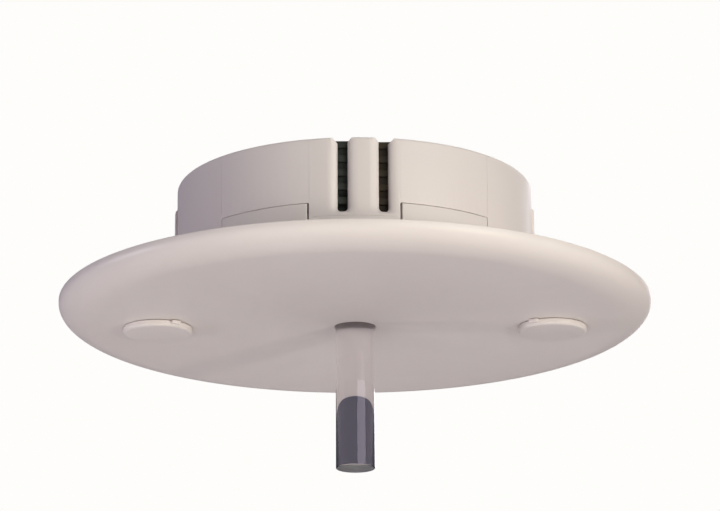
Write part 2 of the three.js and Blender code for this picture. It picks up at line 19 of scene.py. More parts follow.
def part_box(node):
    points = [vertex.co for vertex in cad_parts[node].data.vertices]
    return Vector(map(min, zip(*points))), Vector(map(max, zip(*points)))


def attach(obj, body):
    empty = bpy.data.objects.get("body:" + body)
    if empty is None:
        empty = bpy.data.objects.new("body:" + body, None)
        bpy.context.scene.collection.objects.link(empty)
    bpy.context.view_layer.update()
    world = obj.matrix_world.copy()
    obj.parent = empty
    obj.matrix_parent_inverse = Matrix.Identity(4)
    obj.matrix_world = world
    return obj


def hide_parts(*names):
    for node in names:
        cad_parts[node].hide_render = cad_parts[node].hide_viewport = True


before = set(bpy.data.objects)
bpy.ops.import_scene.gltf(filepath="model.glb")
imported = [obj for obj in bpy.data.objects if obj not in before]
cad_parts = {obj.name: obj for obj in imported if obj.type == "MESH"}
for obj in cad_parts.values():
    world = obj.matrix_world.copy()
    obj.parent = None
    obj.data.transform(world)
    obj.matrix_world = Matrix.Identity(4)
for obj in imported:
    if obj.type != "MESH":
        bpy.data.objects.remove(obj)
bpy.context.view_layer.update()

LOG = logging.getLogger("heat_detector")
MILLIMETRE = 0.001
FULL_TURN = 2.0 * math.pi
FINE_STEPS = 240
MEDIUM_STEPS = 96
SMALL_STEPS = 48
WELD = 1e-4
ACRYLIC_IOR = 1.491
MIX_FIRST = 6
MIX_SECOND = 7
MIX_RESULT = 2
SIDEWAYS = Matrix(((0, 0, 1, 0), (1, 0, 0, 0), (0, 1, 0, 0), (0, 0, 0, 1)))

# How far a cutter runs past what it cuts, then the roundings of edges, from keen to soft. All in millimetres.
OVERSHOOT = 1.0
TIGHT = 0.05
KEEN = 0.1
CRISP = 0.2
EASED = 0.3
SOFT = 0.4
# The most of an outline's stretch that the rounding at one end takes.
ROUND_SHARE = 0.49

Point2 = tuple[float, float]
Point3 = tuple[float, float, float]
Corner = tuple[float, float, float]
Mesh = bmesh.types.BMesh
Face = bmesh.types.BMFace
Vert = bmesh.types.BMVert
Piece = bpy.types.Object
Material = bpy.types.Material
Tree = bpy.types.NodeTree
Node = bpy.types.Node
Socket = bpy.types.NodeSocket


# ---------------------------------------------------------------- names of options
class Body(Enum):
    """The rigid bodies that pieces ride on."""

    PLATE = "plate"
    CAP_LEFT = "cap_left"
    CAP_RIGHT = "cap_right"
    FIXING_LEFT = "fixing_left"
    FIXING_RIGHT = "fixing_right"
    LID = "lid"
    TERMINAL_1 = "terminal_1"
    TERMINAL_2 = "terminal_2"
    TERMINAL_3 = "terminal_3"
    TERMINAL_4 = "terminal_4"


class Trim(Enum):
    """What a tool body does to the body that it meets."""

    JOIN = "UNION"
    CUT = "DIFFERENCE"


class Side(Enum):
    """Left or right of the front, as the sign of X."""

    LEFT = -1
    RIGHT = 1


# ---------------------------------------------------------------- places from the frame
@dataclass(frozen=True)
class Extent:
    """The box of a CAD node at rest, in millimetres."""

    low: Vector
    high: Vector

    @classmethod
    def of(cls, node: str) -> "Extent":
        """Reads a node's box.

        Args:
            node: the CAD node's name.

        Returns:
            Its extent in millimetres.
        """
        low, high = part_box(node)
        return cls(low / MILLIMETRE, high / MILLIMETRE)

    @property
    def middle(self) -> Vector:
        """The middle of the box."""
        return (self.low + self.high) / 2

    @property
    def size(self) -> Vector:
        """The box's size along each axis."""
        return self.high - self.low

    def over(self, height: float = 0.0) -> Point3:
        """The place in line with the box's middle, at a height."""
        return (self.middle.x, self.middle.y, height)


# ---------------------------------------------------------------- outlines
def arc(centre: Point2, radii: Point2, start: float, end: float, steps: int) -> list[Point2]:
    """Points along a stretch of an ellipse.

    Args:
        centre: middle of the ellipse.
        radii: its two half axes.
        start: first angle in degrees.
        end: last angle in degrees.
        steps: how many parts the stretch is in.

    Returns:
        The points, ends included.
    """
    turns = [math.radians(start + (end - start) * i / steps) for i in range(steps + 1)]
    return [(centre[0] + radii[0] * math.cos(t), centre[1] + radii[1] * math.sin(t)) for t in turns]


def rounded(corners: Sequence[Corner], closed: bool = True, steps: int = 5) -> list[Point2]:
    """Rounds the corners of an outline.

    Args:
        corners: each corner's place and the radius of its rounding.
        closed: whether the outline closes on itself.
        steps: parts in each rounding.

    Returns:
        The outline's points.
    """
    points: list[Point2] = []
    count = len(corners)
    for i, (x, y, radius) in enumerate(corners):
        here = Vector((x, y))
        if radius <= 0 or (not closed and i in (0, count - 1)):
            points.append((x, y))
            continue
        before = Vector(corners[i - 1][:2]) - here
        after = Vector(corners[(i + 1) % count][:2]) - here
        half = before.angle(after) / 2
        reach = min(radius / math.tan(half), ROUND_SHARE * before.length, ROUND_SHARE * after.length)
        true_radius = reach * math.tan(half)
        inward = (before.normalized() + after.normalized()).normalized()
        middle = here + inward * true_radius / math.sin(half)
        first = here + before.normalized() * reach - middle
        swing = first.angle_signed(here + after.normalized() * reach - middle)
        for step in range(steps + 1):
            turned = first.copy()
            turned.rotate(Matrix.Rotation(-swing * step / steps, 2))
            points.append(tuple(middle + turned))
    return points


# ---------------------------------------------------------------- mesh tools
def welded(bm: Mesh) -> Mesh:
    """Merges doubled vertices and turns every face outwards.

    Args:
        bm: the mesh.

    Returns:
        The same mesh.
    """
    bmesh.ops.remove_doubles(bm, verts=bm.verts, dist=WELD)
    bmesh.ops.dissolve_degenerate(bm, edges=bm.edges, dist=WELD)
    bmesh.ops.recalc_face_normals(bm, faces=bm.faces)
    return bm


def spun(outline: Sequence[Point2], steps: int, closed: bool = True, turn: float = 360.0) -> Mesh:
    """Spins an outline of (radius, height) points round the Z axis, starting at the front (-Y).

    Args:
        outline: the points.
        steps: parts in the turn.
        closed: whether the outline closes on itself, and doesn't run from axis to axis.
        turn: the angle in degrees.

    Returns:
        A closed mesh.
    """
    bm = bmesh.new()
    verts = [bm.verts.new((0.0, -radius, height)) for radius, height in outline]
    for a, b in zip(verts, verts[1:]):
        bm.edges.new((a, b))
    if closed:
        bm.edges.new((verts[-1], verts[0]))
    full = turn >= 360.0
    if not full:
        bmesh.ops.contextual_create(bm, geom=bm.edges[:])
    geometry = bm.verts[:] + bm.edges[:] + bm.faces[:]
    angle = math.radians(turn)
    bmesh.ops.spin(
        bm, geom=geometry, cent=(0, 0, 0), axis=(0, 0, 1), angle=angle, steps=steps, use_merge=full
    )
    return welded(bm)


def lathed(corners: Sequence[Corner], steps: int, detail: int = 5) -> Mesh:
    """Turns a solid from an outline that runs from axis to axis.

    Args:
        corners: each corner's radius and height, and the radius of its rounding.
        steps: parts in the turn.
        detail: parts in each rounding.

    Returns:
        A closed mesh.
    """
    return spun(rounded(corners, closed=False, steps=detail), steps, closed=False)


def prism(outline: Sequence[Point2], low: float, high: float) -> Mesh:
    """Raises a flat outline of (x, y) points along Z.

    Args:
        outline: the points.
        low: the bottom's height.
        high: the top's height.

    Returns:
        A closed mesh.
    """
    bm = bmesh.new()
    face = bm.faces.new([bm.verts.new((x, y, low)) for x, y in outline])
    raised = bmesh.ops.extrude_face_region(bm, geom=[face])["geom"]
    top = [item for item in raised if isinstance(item, Vert)]
    bmesh.ops.translate(bm, verts=top, vec=(0, 0, high - low))
    return welded(bm)


def softened(bm: Mesh, width: float, segments: int = 2, angle: float = 35.0) -> Mesh:
    """Rounds every edge that is sharper than an angle.

    Args:
        bm: the mesh.
        width: how far the rounding reaches.
        segments: parts in the rounding.
        angle: the angle in degrees.

    Returns:
        The same mesh.
    """
    limit = math.radians(angle)
    sharp = [e for e in bm.edges if e.is_manifold and e.calc_face_angle(0.0) > limit]
    if sharp and width > 0:
        bmesh.ops.bevel(
            bm,
            geom=sharp,
            offset=width,
            offset_type="OFFSET",
            affect="EDGES",
            segments=segments,
            profile=0.5,
            material=-1,
            clamp_overlap=True,
        )
    return bm


def block(low: Sequence[float], high: Sequence[float], rounding: float = 0.0) -> Mesh:
    """A block between two corners.

    Args:
        low: lowest corner.
        high: highest corner.
        rounding: how far its edges are rounded.

    Returns:
        A closed mesh.
    """
    bm = bmesh.new()
    bmesh.ops.create_cube(bm, size=1.0)
    size = Vector(high) - Vector(low)
    bmesh.ops.scale(bm, verts=bm.verts, vec=size)
    bmesh.ops.translate(bm, verts=bm.verts, vec=(Vector(high) + Vector(low)) / 2)
    return softened(bm, rounding)


def drum(
    radius: float,
    low: float,
    high: float,
    at: Point2 = (0.0, 0.0),
    rounding: float = 0.0,
    steps: int = SMALL_STEPS,
) -> Mesh:
    """A round bar along Z.

    Args:
        radius: its radius.
        low: the bottom's height.
        high: the top's height.
        at: its middle.
        rounding: the radius of its end edges.
        steps: sides of the bar.

    Returns:
        A closed mesh.
    """
    corners = [(0.0, low, 0.0), (radius, low, rounding), (radius, high, rounding), (0.0, high, 0.0)]
    return moved(lathed(corners, steps), (*at, 0.0))


def turned_about(bm: Mesh, degrees: float, axis: str = "Z") -> Mesh:
    """Turns a mesh about an axis through the origin.

    Args:
        bm: the mesh.
        degrees: the angle.
        axis: X, Y or Z.

    Returns:
        The same mesh.
    """
    matrix = Matrix.Rotation(math.radians(degrees), 3, axis)
    bmesh.ops.rotate(bm, verts=bm.verts, cent=(0, 0, 0), matrix=matrix)
    return bm


def moved(bm: Mesh, offset: Sequence[float]) -> Mesh:
    """Moves a mesh.

    Args:
        bm: the mesh.
        offset: how far along each axis.

    Returns:
        The same mesh.
    """
    bmesh.ops.translate(bm, verts=bm.verts, vec=offset)
    return bm


def gathered(parts: Iterable[Mesh]) -> Mesh:
    """Puts several meshes that don't meet into one.

    Args:
        parts: the meshes, which are freed.

    Returns:
        One mesh with all of them.
    """
    whole = bmesh.new()
    for part in parts:
        mesh = bpy.data.meshes.new("part")
        part.to_mesh(mesh)
        part.free()
        whole.from_mesh(mesh)
        bpy.data.meshes.remove(mesh)
    return whole


def extended(bm: Mesh, faces: list[Face], offset: Sequence[float]) -> list[Face]:
    """Draws faces out in a straight run.

    Args:
        bm: the mesh.
        faces: the faces to draw out.
        offset: the run.

    Returns:
        The faces at the run's end.
    """
    raised = bmesh.ops.extrude_face_region(bm, geom=faces)["geom"]
    verts = [item for item in raised if isinstance(item, Vert)]
    bmesh.ops.translate(bm, verts=verts, vec=offset)
    return [item for item in raised if isinstance(item, Face)]


def swung(
    bm: Mesh, faces: list[Face], centre: Point3, axis: Point3, degrees: float, steps: int
) -> list[Face]:
    """Draws faces out in a bend.

    Args:
        bm: the mesh.
        faces: the faces to draw out.
        centre: a place on the bend's axis.
        axis: the direction of the bend's axis.
        degrees: the angle.
        steps: parts in the bend.

    Returns:
        The faces at the bend's end.
    """
    edges = list({edge for face in faces for edge in face.edges})
    verts = list({vert for face in faces for vert in face.verts})
    last = bmesh.ops.spin(
        bm, geom=verts + edges + faces, cent=centre, axis=axis, angle=math.radians(degrees), steps=steps
    )["geom_last"]
    return [item for item in last if isinstance(item, Face)]


def trimmed(body: Mesh, tools: Sequence[tuple[Trim, Mesh]]) -> Mesh:
    """Joins tool bodies to a body, or cuts them from it, in order.

    Args:
        body: the mesh, which is freed.
        tools: what each tool does, and the tool, which is freed.

    Returns:
        The trimmed mesh.
    """
    base = temporary(body)
    helpers = [temporary(tool) for _, tool in tools]
    for (trim, _), helper in zip(tools, helpers):
        modifier = base.modifiers.new("trim", "BOOLEAN")
        modifier.operation = trim.value
        modifier.solver = "EXACT"
        modifier.object = helper
        helper.hide_render = True
    bpy.context.view_layer.update()
    result = bmesh.new()
    result.from_object(base, bpy.context.evaluated_depsgraph_get())
    for item in (base, *helpers):
        data = item.data
        bpy.data.objects.remove(item)
        bpy.data.meshes.remove(data)
    bmesh.ops.remove_doubles(result, verts=result.verts, dist=WELD)
    bmesh.ops.dissolve_degenerate(result, edges=result.edges, dist=WELD)
    return result


def placed(name: str, data: Any) -> Piece:
    """Puts a new object in the scene.

    Args:
        name: its name.
        data: its mesh, light or camera.

    Returns:
        The object.
    """
    item = bpy.data.objects.new(name, data)
    bpy.context.scene.collection.objects.link(item)
    return item


def temporary(bm: Mesh) -> Piece:
    """A scratch object for a mesh that is about to be trimmed.

    Args:
        bm: the mesh, which is freed.

    Returns:
        The object.
    """
    mesh = bpy.data.meshes.new("scratch")
    bm.to_mesh(mesh)
    bm.free()
    return placed("scratch", mesh)


def finished(
    bm: Mesh,
    name: str,
    body: Body,
    finishes: Sequence[Material],
    stands_for: Sequence[str] = (),
    sharp: float = 30.0,
) -> Piece:
    """Turns a drawn mesh into a piece of the object.

    Args:
        bm: the mesh in millimetres, which is freed.
        name: the piece's name.
        body: the body that it rides on.
        finishes: its materials, in the order of its faces' material numbers.
        stands_for: CAD nodes that it replaces.
        sharp: edges sharper than this many degrees stay crisp.

    Returns:
        The piece.
    """
    bmesh.ops.scale(bm, verts=bm.verts, vec=(MILLIMETRE,) * 3)
    mesh = bpy.data.meshes.new(name)
    bm.to_mesh(mesh)
    bm.free()
    mesh.polygons.foreach_set("use_smooth", [True] * len(mesh.polygons))
    mesh.set_sharp_from_angle(angle=math.radians(sharp))
    piece = placed(name, mesh)
    for finish in finishes:
        mesh.materials.append(finish)
    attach(piece, body.value)
    if stands_for:
        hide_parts(*stands_for)
    LOG.info("%s: %d faces on %s", name, len(mesh.polygons), body.value)
    return piece


# ---------------------------------------------------------------- node tools
def linear(code: str) -> tuple[float, float, float, float]:
    """Turns an sRGB hex colour to linear light.

    Args:
        code: the colour, such as "#e8e0d8".

    Returns:
        Red, green, blue and alpha.
    """
    channels = [int(code[i:i + 2], 16) / 255 for i in (1, 3, 5)]
    light = [c / 12.92 if c <= 0.04045 else ((c + 0.055) / 1.055) ** 2.4 for c in channels]
    return (*light, 1.0)


def node(tree: Tree, kind: str, settings: dict[Any, Any] | None = None, **links: Any) -> Node:
    """Adds a node with its settings and links.

    Args:
        tree: the material's node tree.
        kind: the node's type.
        settings: node properties, and socket values under the socket's name or number.
        links: what feeds each socket, a node's first output or a socket. The name is the socket's, with
            underscores for spaces, or the letter i and the socket's number.

    Returns:
        The node.
    """
    made = tree.nodes.new(kind)
    for key, value in (settings or {}).items():
        if isinstance(key, int):
            made.inputs[key].default_value = value
        elif key in made.inputs and not hasattr(made, key):
            made.inputs[key].default_value = value
        else:
            setattr(made, key, value)
    for key, source in links.items():
        wanted = int(key[1:]) if key[1:].isdigit() else key.replace("_", " ")
        output = source if isinstance(source, Socket) else source.outputs[0]
        tree.links.new(output, made.inputs[wanted])
    return made


def pattern(size_mm: float, detail: float = 2.0) -> dict[str, float]:
    """The settings of a noise or wave texture whose features have a size in millimetres."""
    return {"Scale": 1.0 / (size_mm * MILLIMETRE), "Detail": detail}


def spread(low: float, high: float, start: float = 0.35, end: float = 0.65) -> dict[str, float]:
    """The settings of a range that turns start to end into low to high."""
    return {"From Min": start, "From Max": end, "To Min": low, "To Max": high}


def between(first: str, second: str) -> dict[str | int, Any]:
    """The settings of a mix from one sRGB hex colour to another."""
    return {"data_type": "RGBA", MIX_FIRST: linear(first), MIX_SECOND: linear(second)}


def relief(depth_mm: float, strength: float = 0.7) -> dict[str, float]:
    """The settings of a bump with a depth in millimetres."""
    return {"Distance": depth_mm * MILLIMETRE, "Strength": strength}


# ---------------------------------------------------------------- finishes
@dataclass(frozen=True)
class Finish:
    """What every finish shares: a name, and a node tree on object coordinates that ends in one shader."""

    name: str

    def shade(self, tree: Tree, place: Socket) -> Node:
        """Adds the finish's own nodes.

        Args:
            tree: the material's node tree.
            place: the object coordinates.

        Returns:
            The shader.
        """
        raise NotImplementedError

    @staticmethod
    def surface(
        tree: Tree,
        tones: tuple[str, str],
        share: Node,
        shine: tuple[float, float],
        patches: Node,
        bump: Node,
        values: dict[str, float],
    ) -> Node:
        """Joins two tones, a varied gloss and a relief in one shader.

        Args:
            tree: the material's node tree.
            tones: the two colours.
            share: how much of the second tone each place has.
            shine: the least and the most roughness.
            patches: where the roughness is low or high.
            bump: the relief.
            values: the shader's other settings.

        Returns:
            The shader.
        """
        colour = node(tree, "ShaderNodeMix", between(*tones), i0=share)
        gloss = node(tree, "ShaderNodeMapRange", spread(*shine), Value=patches)
        tint = colour.outputs[MIX_RESULT]
        return node(
            tree, "ShaderNodeBsdfPrincipled", values, Base_Color=tint, Roughness=gloss, Normal=bump
        )

    def build(self) -> Material:
        """Makes the material.

        Returns:
            The material.
        """
        material = bpy.data.materials.new(self.name)
        material.use_nodes = True
        tree = material.node_tree
        tree.nodes.clear()
        place = node(tree, "ShaderNodeTexCoord").outputs["Object"]
        node(tree, "ShaderNodeOutputMaterial", Surface=self.shade(tree, place))
        return material


@dataclass(frozen=True)
class MouldedPlastic(Finish):
    """Injection-moulded plastic with a fine spark-eroded face.

    The eye gets a soft satin sheen that breaks up in a fine grain, and a very slow drift of tone and flatness
    where the melt has flowed and shrunk.
    """

    colour: str
    deep: str
    roughness: float = 0.42
    ior: float = 1.53
    grain_mm: float = 0.7
    grain_depth_mm: float = 0.010
    rub_mm: float = 9.0
    wave_mm: float = 34.0
    wave_depth_mm: float = 0.06

    def shade(self, tree: Tree, place: Socket) -> Node:
        """Adds drift, flow waves, grain and rubbed patches.

        Args:
            tree: the material's node tree.
            place: the object coordinates.

        Returns:
            The shader.
        """
        drift = node(tree, "ShaderNodeTexNoise", pattern(2.0 * self.wave_mm, 3.0), Vector=place)
        flow = node(tree, "ShaderNodeTexNoise", pattern(self.wave_mm, 1.0), Vector=place)
        # The real grain is about 0.05 mm; it is drawn several times coarser so that it shows.
        grain = node(tree, "ShaderNodeTexNoise", pattern(self.grain_mm, 3.0), Vector=place)
        rubbed = node(tree, "ShaderNodeTexNoise", pattern(self.rub_mm, 4.0), Vector=place)
        share = node(tree, "ShaderNodeMapRange", spread(0.0, 1.0, 0.3, 0.7), Value=drift)
        waves = node(tree, "ShaderNodeBump", relief(self.wave_depth_mm, 0.5), Height=flow)
        bump = node(tree, "ShaderNodeBump", relief(self.grain_depth_mm), Height=grain, Normal=waves)
        tones = (self.colour, self.deep)
        shine = (self.roughness - 0.04, self.roughness + 0.05)
        return self.surface(tree, tones, share, shine, rubbed, bump, {"IOR": self.ior})


@dataclass(frozen=True)
class PlatedMetal(Finish):
    """Cold-formed metal with a thin plate or a rolled face.

    The eye gets a bright grey metal whose gloss is patchy, with fine scuffs from the plating barrel.
    """

    colour: str
    scuffed: str
    roughness: float = 0.3
    scuff_mm: float = 1.2

    def shade(self, tree: Tree, place: Socket) -> Node:
        """Adds patches of gloss and fine scuffs.

        Args:
            tree: the material's node tree.
            place: the object coordinates.

        Returns:
            The shader.
        """
        patches = node(tree, "ShaderNodeTexNoise", pattern(3.0 * self.scuff_mm, 4.0), Vector=place)
        scuffs = node(tree, "ShaderNodeTexNoise", pattern(0.4 * self.scuff_mm), Vector=place)
        share = node(tree, "ShaderNodeMapRange", spread(0.0, 1.0), Value=patches)
        bump = node(tree, "ShaderNodeBump", relief(0.004, 0.6), Height=scuffs)
        tones = (self.colour, self.scuffed)
        shine = (self.roughness - 0.08, self.roughness + 0.12)
        return self.surface(tree, tones, share, shine, patches, bump, {"Metallic": 1.0})


@dataclass(frozen=True)
class ExtrudedAcrylic(Finish):
    """Acrylic bar drawn through a die, clear right through.

    The eye gets sharp refraction and highlights, the highlights with a painted lilac tint, and faint lines
    along the bar from the die.
    """

    colour: str = "#fcf9fa"
    # Painted highlight tint: a lilac tint on every reflection of the bar, standing in for the colour of the
    # light in its highlights.
    painted_highlight_tint: str = "#e2dcf8"
    roughness: float = 0.015
    line_mm: float = 0.5
    line_depth_mm: float = 0.0015

    def shade(self, tree: Tree, place: Socket) -> Node:
        """Adds the die lines.

        Args:
            tree: the material's node tree.
            place: the object coordinates.

        Returns:
            The shader.
        """
        drawn = node(tree, "ShaderNodeMapping", {"Scale": (1.0, 1.0, 0.01)}, Vector=place)
        lines = node(tree, "ShaderNodeTexNoise", pattern(self.line_mm), Vector=drawn)
        bump = node(tree, "ShaderNodeBump", relief(self.line_depth_mm, 0.5), Height=lines)
        values = {
            "Base Color": linear(self.colour),
            "IOR": ACRYLIC_IOR,
            "Transmission Weight": 1.0,
            "Roughness": self.roughness,
            "Specular Tint": linear(self.painted_highlight_tint),
        }
        return node(tree, "ShaderNodeBsdfPrincipled", values, Normal=bump)


@dataclass(frozen=True)
class SawnAcrylic(Finish):
    """Acrylic cut across with a fine saw and flattened.

    The eye gets a soft grey frost with faint arcs from the blade, which spreads the indicator's light.
    """

    colour: str = "#eef0f2"
    roughness: float = 0.34
    arc_mm: float = 10.0

    def shade(self, tree: Tree, place: Socket) -> Node:
        """Adds the blade's arcs and the frost.

        Args:
            tree: the material's node tree.
            place: the object coordinates.

        Returns:
            The shader.
        """
        blade = node(tree, "ShaderNodeMapping", {"Location": (0.04, 0.02, 0.0)}, Vector=place)
        rings = {"wave_type": "RINGS", "rings_direction": "Z", "Distortion": 1.5, **pattern(self.arc_mm)}
        arcs = node(tree, "ShaderNodeTexWave", rings, Vector=blade)
        bump = node(tree, "ShaderNodeBump", relief(0.01, 0.6), Height=arcs)
        frost = node(tree, "ShaderNodeTexNoise", pattern(1.5, 3.0), Vector=place)
        gloss = node(
            tree, "ShaderNodeMapRange", spread(self.roughness - 0.06, self.roughness + 0.1), Value=frost
        )
        values = {"Base Color": linear(self.colour), "IOR": ACRYLIC_IOR, "Transmission Weight": 0.85}
        return node(tree, "ShaderNodeBsdfPrincipled", values, Roughness=gloss, Normal=bump)


@dataclass(frozen=True)
class MouldedRubber(Finish):
    """Compression-moulded EPDM rubber.

    The eye gets a deep dull black with a slight bloom and an open, matt grain.
    """

    colour: str
    bloom: str
    roughness: float = 0.72

    def shade(self, tree: Tree, place: Socket) -> Node:
        """Adds the bloom and the grain.

        Args:
            tree: the material's node tree.
            place: the object coordinates.

        Returns:
            The shader.
        """
        patches = node(tree, "ShaderNodeTexNoise", pattern(5.0, 4.0), Vector=place)
        grain = node(tree, "ShaderNodeTexNoise", pattern(0.5, 3.0), Vector=place)
        share = node(tree, "ShaderNodeMapRange", spread(0.0, 1.0), Value=patches)
        bump = node(tree, "ShaderNodeBump", relief(0.02, 0.8), Height=grain)
        tones = (self.colour, self.bloom)
        shine = (self.roughness - 0.1, self.roughness + 0.1)
        return self.surface(tree, tones, share, shine, patches, bump, {"IOR": 1.5})


@dataclass(frozen=True)
class MaskedBoard(Finish):
    """Glass-epoxy laminate with etched copper under a green solder mask.

    The eye gets a glossy green with lighter, slightly raised tracks that run in straight stretches.
    """

    mask: str = "#1d4a2b"
    track: str = "#2f6b3c"
    track_mm: float = 0.6
    row_mm: float = 2.54
    run_mm: float = 9.0

    def shade(self, tree: Tree, place: Socket) -> Node:
        """Adds the tracks and the mask's gloss.

        Args:
            tree: the material's node tree.
            place: the object coordinates.

        Returns:
            The shader.
        """
        scaled = node(tree, "ShaderNodeMapping", {"Scale": (1.0 / MILLIMETRE,) * 3}, Vector=place)
        runs = {
            "Color1": (0.0, 0.0, 0.0, 1.0),
            "Color2": (0.1, 0.1, 0.1, 1.0),
            "Mortar": (1.0, 1.0, 1.0, 1.0),
            "Scale": 1.0,
            "Mortar Size": self.track_mm / 2,
            "Mortar Smooth": 0.1,
            "Brick Width": self.run_mm,
            "Row Height": self.row_mm,
            "offset": 0.37,
            "squash": 1.6,
            "squash_frequency": 3,
        }
        copper = node(tree, "ShaderNodeTexBrick", runs, Vector=scaled)
        raised = node(tree, "ShaderNodeBump", relief(0.035, 0.9), Height=copper)
        patches = node(tree, "ShaderNodeTexNoise", pattern(3.0, 3.0), Vector=place)
        tones = (self.mask, self.track)
        coat = {"IOR": 1.52, "Coat Weight": 0.3, "Coat Roughness": 0.15}
        return self.surface(tree, tones, copper, (0.22, 0.34), patches, raised, coat)


@dataclass(frozen=True)
class PaintedBoard(Finish):
    """A studio floor board, rolled with matt paint.

    The eye gets a plain pale sheet, paler than the light that it throws back on the part.
    """

    colour: str = "#f3f0ee"
    glow: float = 0.5

    def shade(self, tree: Tree, place: Socket) -> Node:
        """Adds the paint, with a glow that only the camera sees.

        Args:
            tree: the material's node tree.
            place: the object coordinates; not used.

        Returns:
            The shader.
        """
        path = node(tree, "ShaderNodeLightPath")
        settings = {"operation": "MULTIPLY", 1: self.glow}
        shown = node(tree, "ShaderNodeMath", settings, i0=path.outputs["Is Camera Ray"])
        paint = linear(self.colour)
        values = {"Base Color": paint, "Emission Color": paint, "Roughness": 0.9}
        return node(tree, "ShaderNodeBsdfPrincipled", values, **{"Emission Strength": shown})


@dataclass(frozen=True)
class CastEpoxy(Finish):
    """Epoxy moulded round a small electronic part, or dipped over it.

    The eye gets a hard, even body: dull on a chip's ground mould, glossy on a dipped bead, clear in a lamp.
    """

    colour: str
    deep: str
    roughness: float
    clearness: float = 0.0
    grain_mm: float = 0.4

    def shade(self, tree: Tree, place: Socket) -> Node:
        """Adds the grain and a slow drift of tone.

        Args:
            tree: the material's node tree.
            place: the object coordinates.

        Returns:
            The shader.
        """
        grain = node(tree, "ShaderNodeTexNoise", pattern(self.grain_mm, 3.0), Vector=place)
        drift = node(tree, "ShaderNodeTexNoise", pattern(2.5, 3.0), Vector=place)
        share = node(tree, "ShaderNodeMapRange", spread(0.0, 1.0), Value=drift)
        bump = node(tree, "ShaderNodeBump", relief(0.006, 0.6), Height=grain)
        tones = (self.colour, self.deep)
        shine = (max(self.roughness - 0.06, 0.02), self.roughness + 0.08)
        values = {"IOR": 1.55, "Transmission Weight": self.clearness}
        return self.surface(tree, tones, share, shine, grain, bump, values)


class Palette:
    """The object's finishes, each made once."""

    def __init__(self) -> None:
        """Makes every finish."""
        # Covers and housing: satin off-white that drifts a little warmer in places.
        self.plate = MouldedPlastic("white_abs_moulded", "#e9e2de", "#e4dcd8").build()
        self.housing = MouldedPlastic("housing_abs_moulded", "#e8e1de", "#e2dad7", roughness=0.46).build()
        # Light guide: water-clear sides and a frosted sawn end.
        self.bar = ExtrudedAcrylic("clear_acrylic_extruded").build()
        self.bar_end = SawnAcrylic("clear_acrylic_sawn_end").build()
        # Metals: bluish bright zinc, darker spring steel, soft bright solder and drawn aluminium.
        self.zinc = PlatedMetal("steel_zinc_plated", "#c3c4c2", "#a3a4a4").build()
        self.spring = PlatedMetal("spring_steel_rolled", "#9c9c9e", "#77777a", roughness=0.26).build()
        self.solder = PlatedMetal("tin_solder_reflowed", "#cfd0cf", "#adaeae", roughness=0.22).build()
        self.can_top = PlatedMetal("capacitor_aluminium_drawn", "#cdcfd1", "#b4b6b8", roughness=0.24).build()
        # Seals: one rubber in two copies with painted light tints: a green cast for the cool light from the
        # left, and a brown cast for the warm light from the right.
        self.seal_left = MouldedRubber("epdm_moulded_cool_light_tint", "#292e29", "#363c36").build()
        self.seal_right = MouldedRubber("epdm_moulded_warm_light_tint", "#30281e", "#3e3526").build()
        # Board: glossy green face and a dull, fibrous straw-coloured edge.
        self.board = MaskedBoard("glass_epoxy_solder_mask").build()
        self.board_edge = MouldedPlastic("glass_epoxy_cut_edge", "#a89a62", "#8d8050", roughness=0.7).build()
        # Parts on the board: dull black mould, glossy dips, red lamp, green terminals and a printed sleeve.
        self.chip = CastEpoxy("chip_epoxy_moulded", "#1c1c1e", "#262628", 0.58).build()
        self.bead = CastEpoxy("bead_epoxy_dipped", "#3a2a1d", "#2a1d14", 0.18).build()
        self.lamp = CastEpoxy("lamp_epoxy_cast_red", "#c4262a", "#b01c22", 0.05, clearness=0.7).build()
        self.terminal = MouldedPlastic("terminal_nylon_moulded", "#3f8a4c", "#377a43", roughness=0.4).build()
        self.sleeve = MouldedPlastic("capacitor_pvc_shrunk", "#1c2748", "#18213d", roughness=0.28).build()
        self.stripe = MouldedPlastic("capacitor_print_pale", "#b9c0cc", "#aab1bd", roughness=0.4).build()
        self.lacquer = CastEpoxy("resistor_lacquer_dipped", "#9db9c2", "#8dabb5", 0.3).build()
        self.band_dark = CastEpoxy("resistor_band_brown", "#4a2c1a", "#402515", 0.32).build()
        self.band_warm = CastEpoxy("resistor_band_orange", "#c8662a", "#b95c25", 0.32).build()


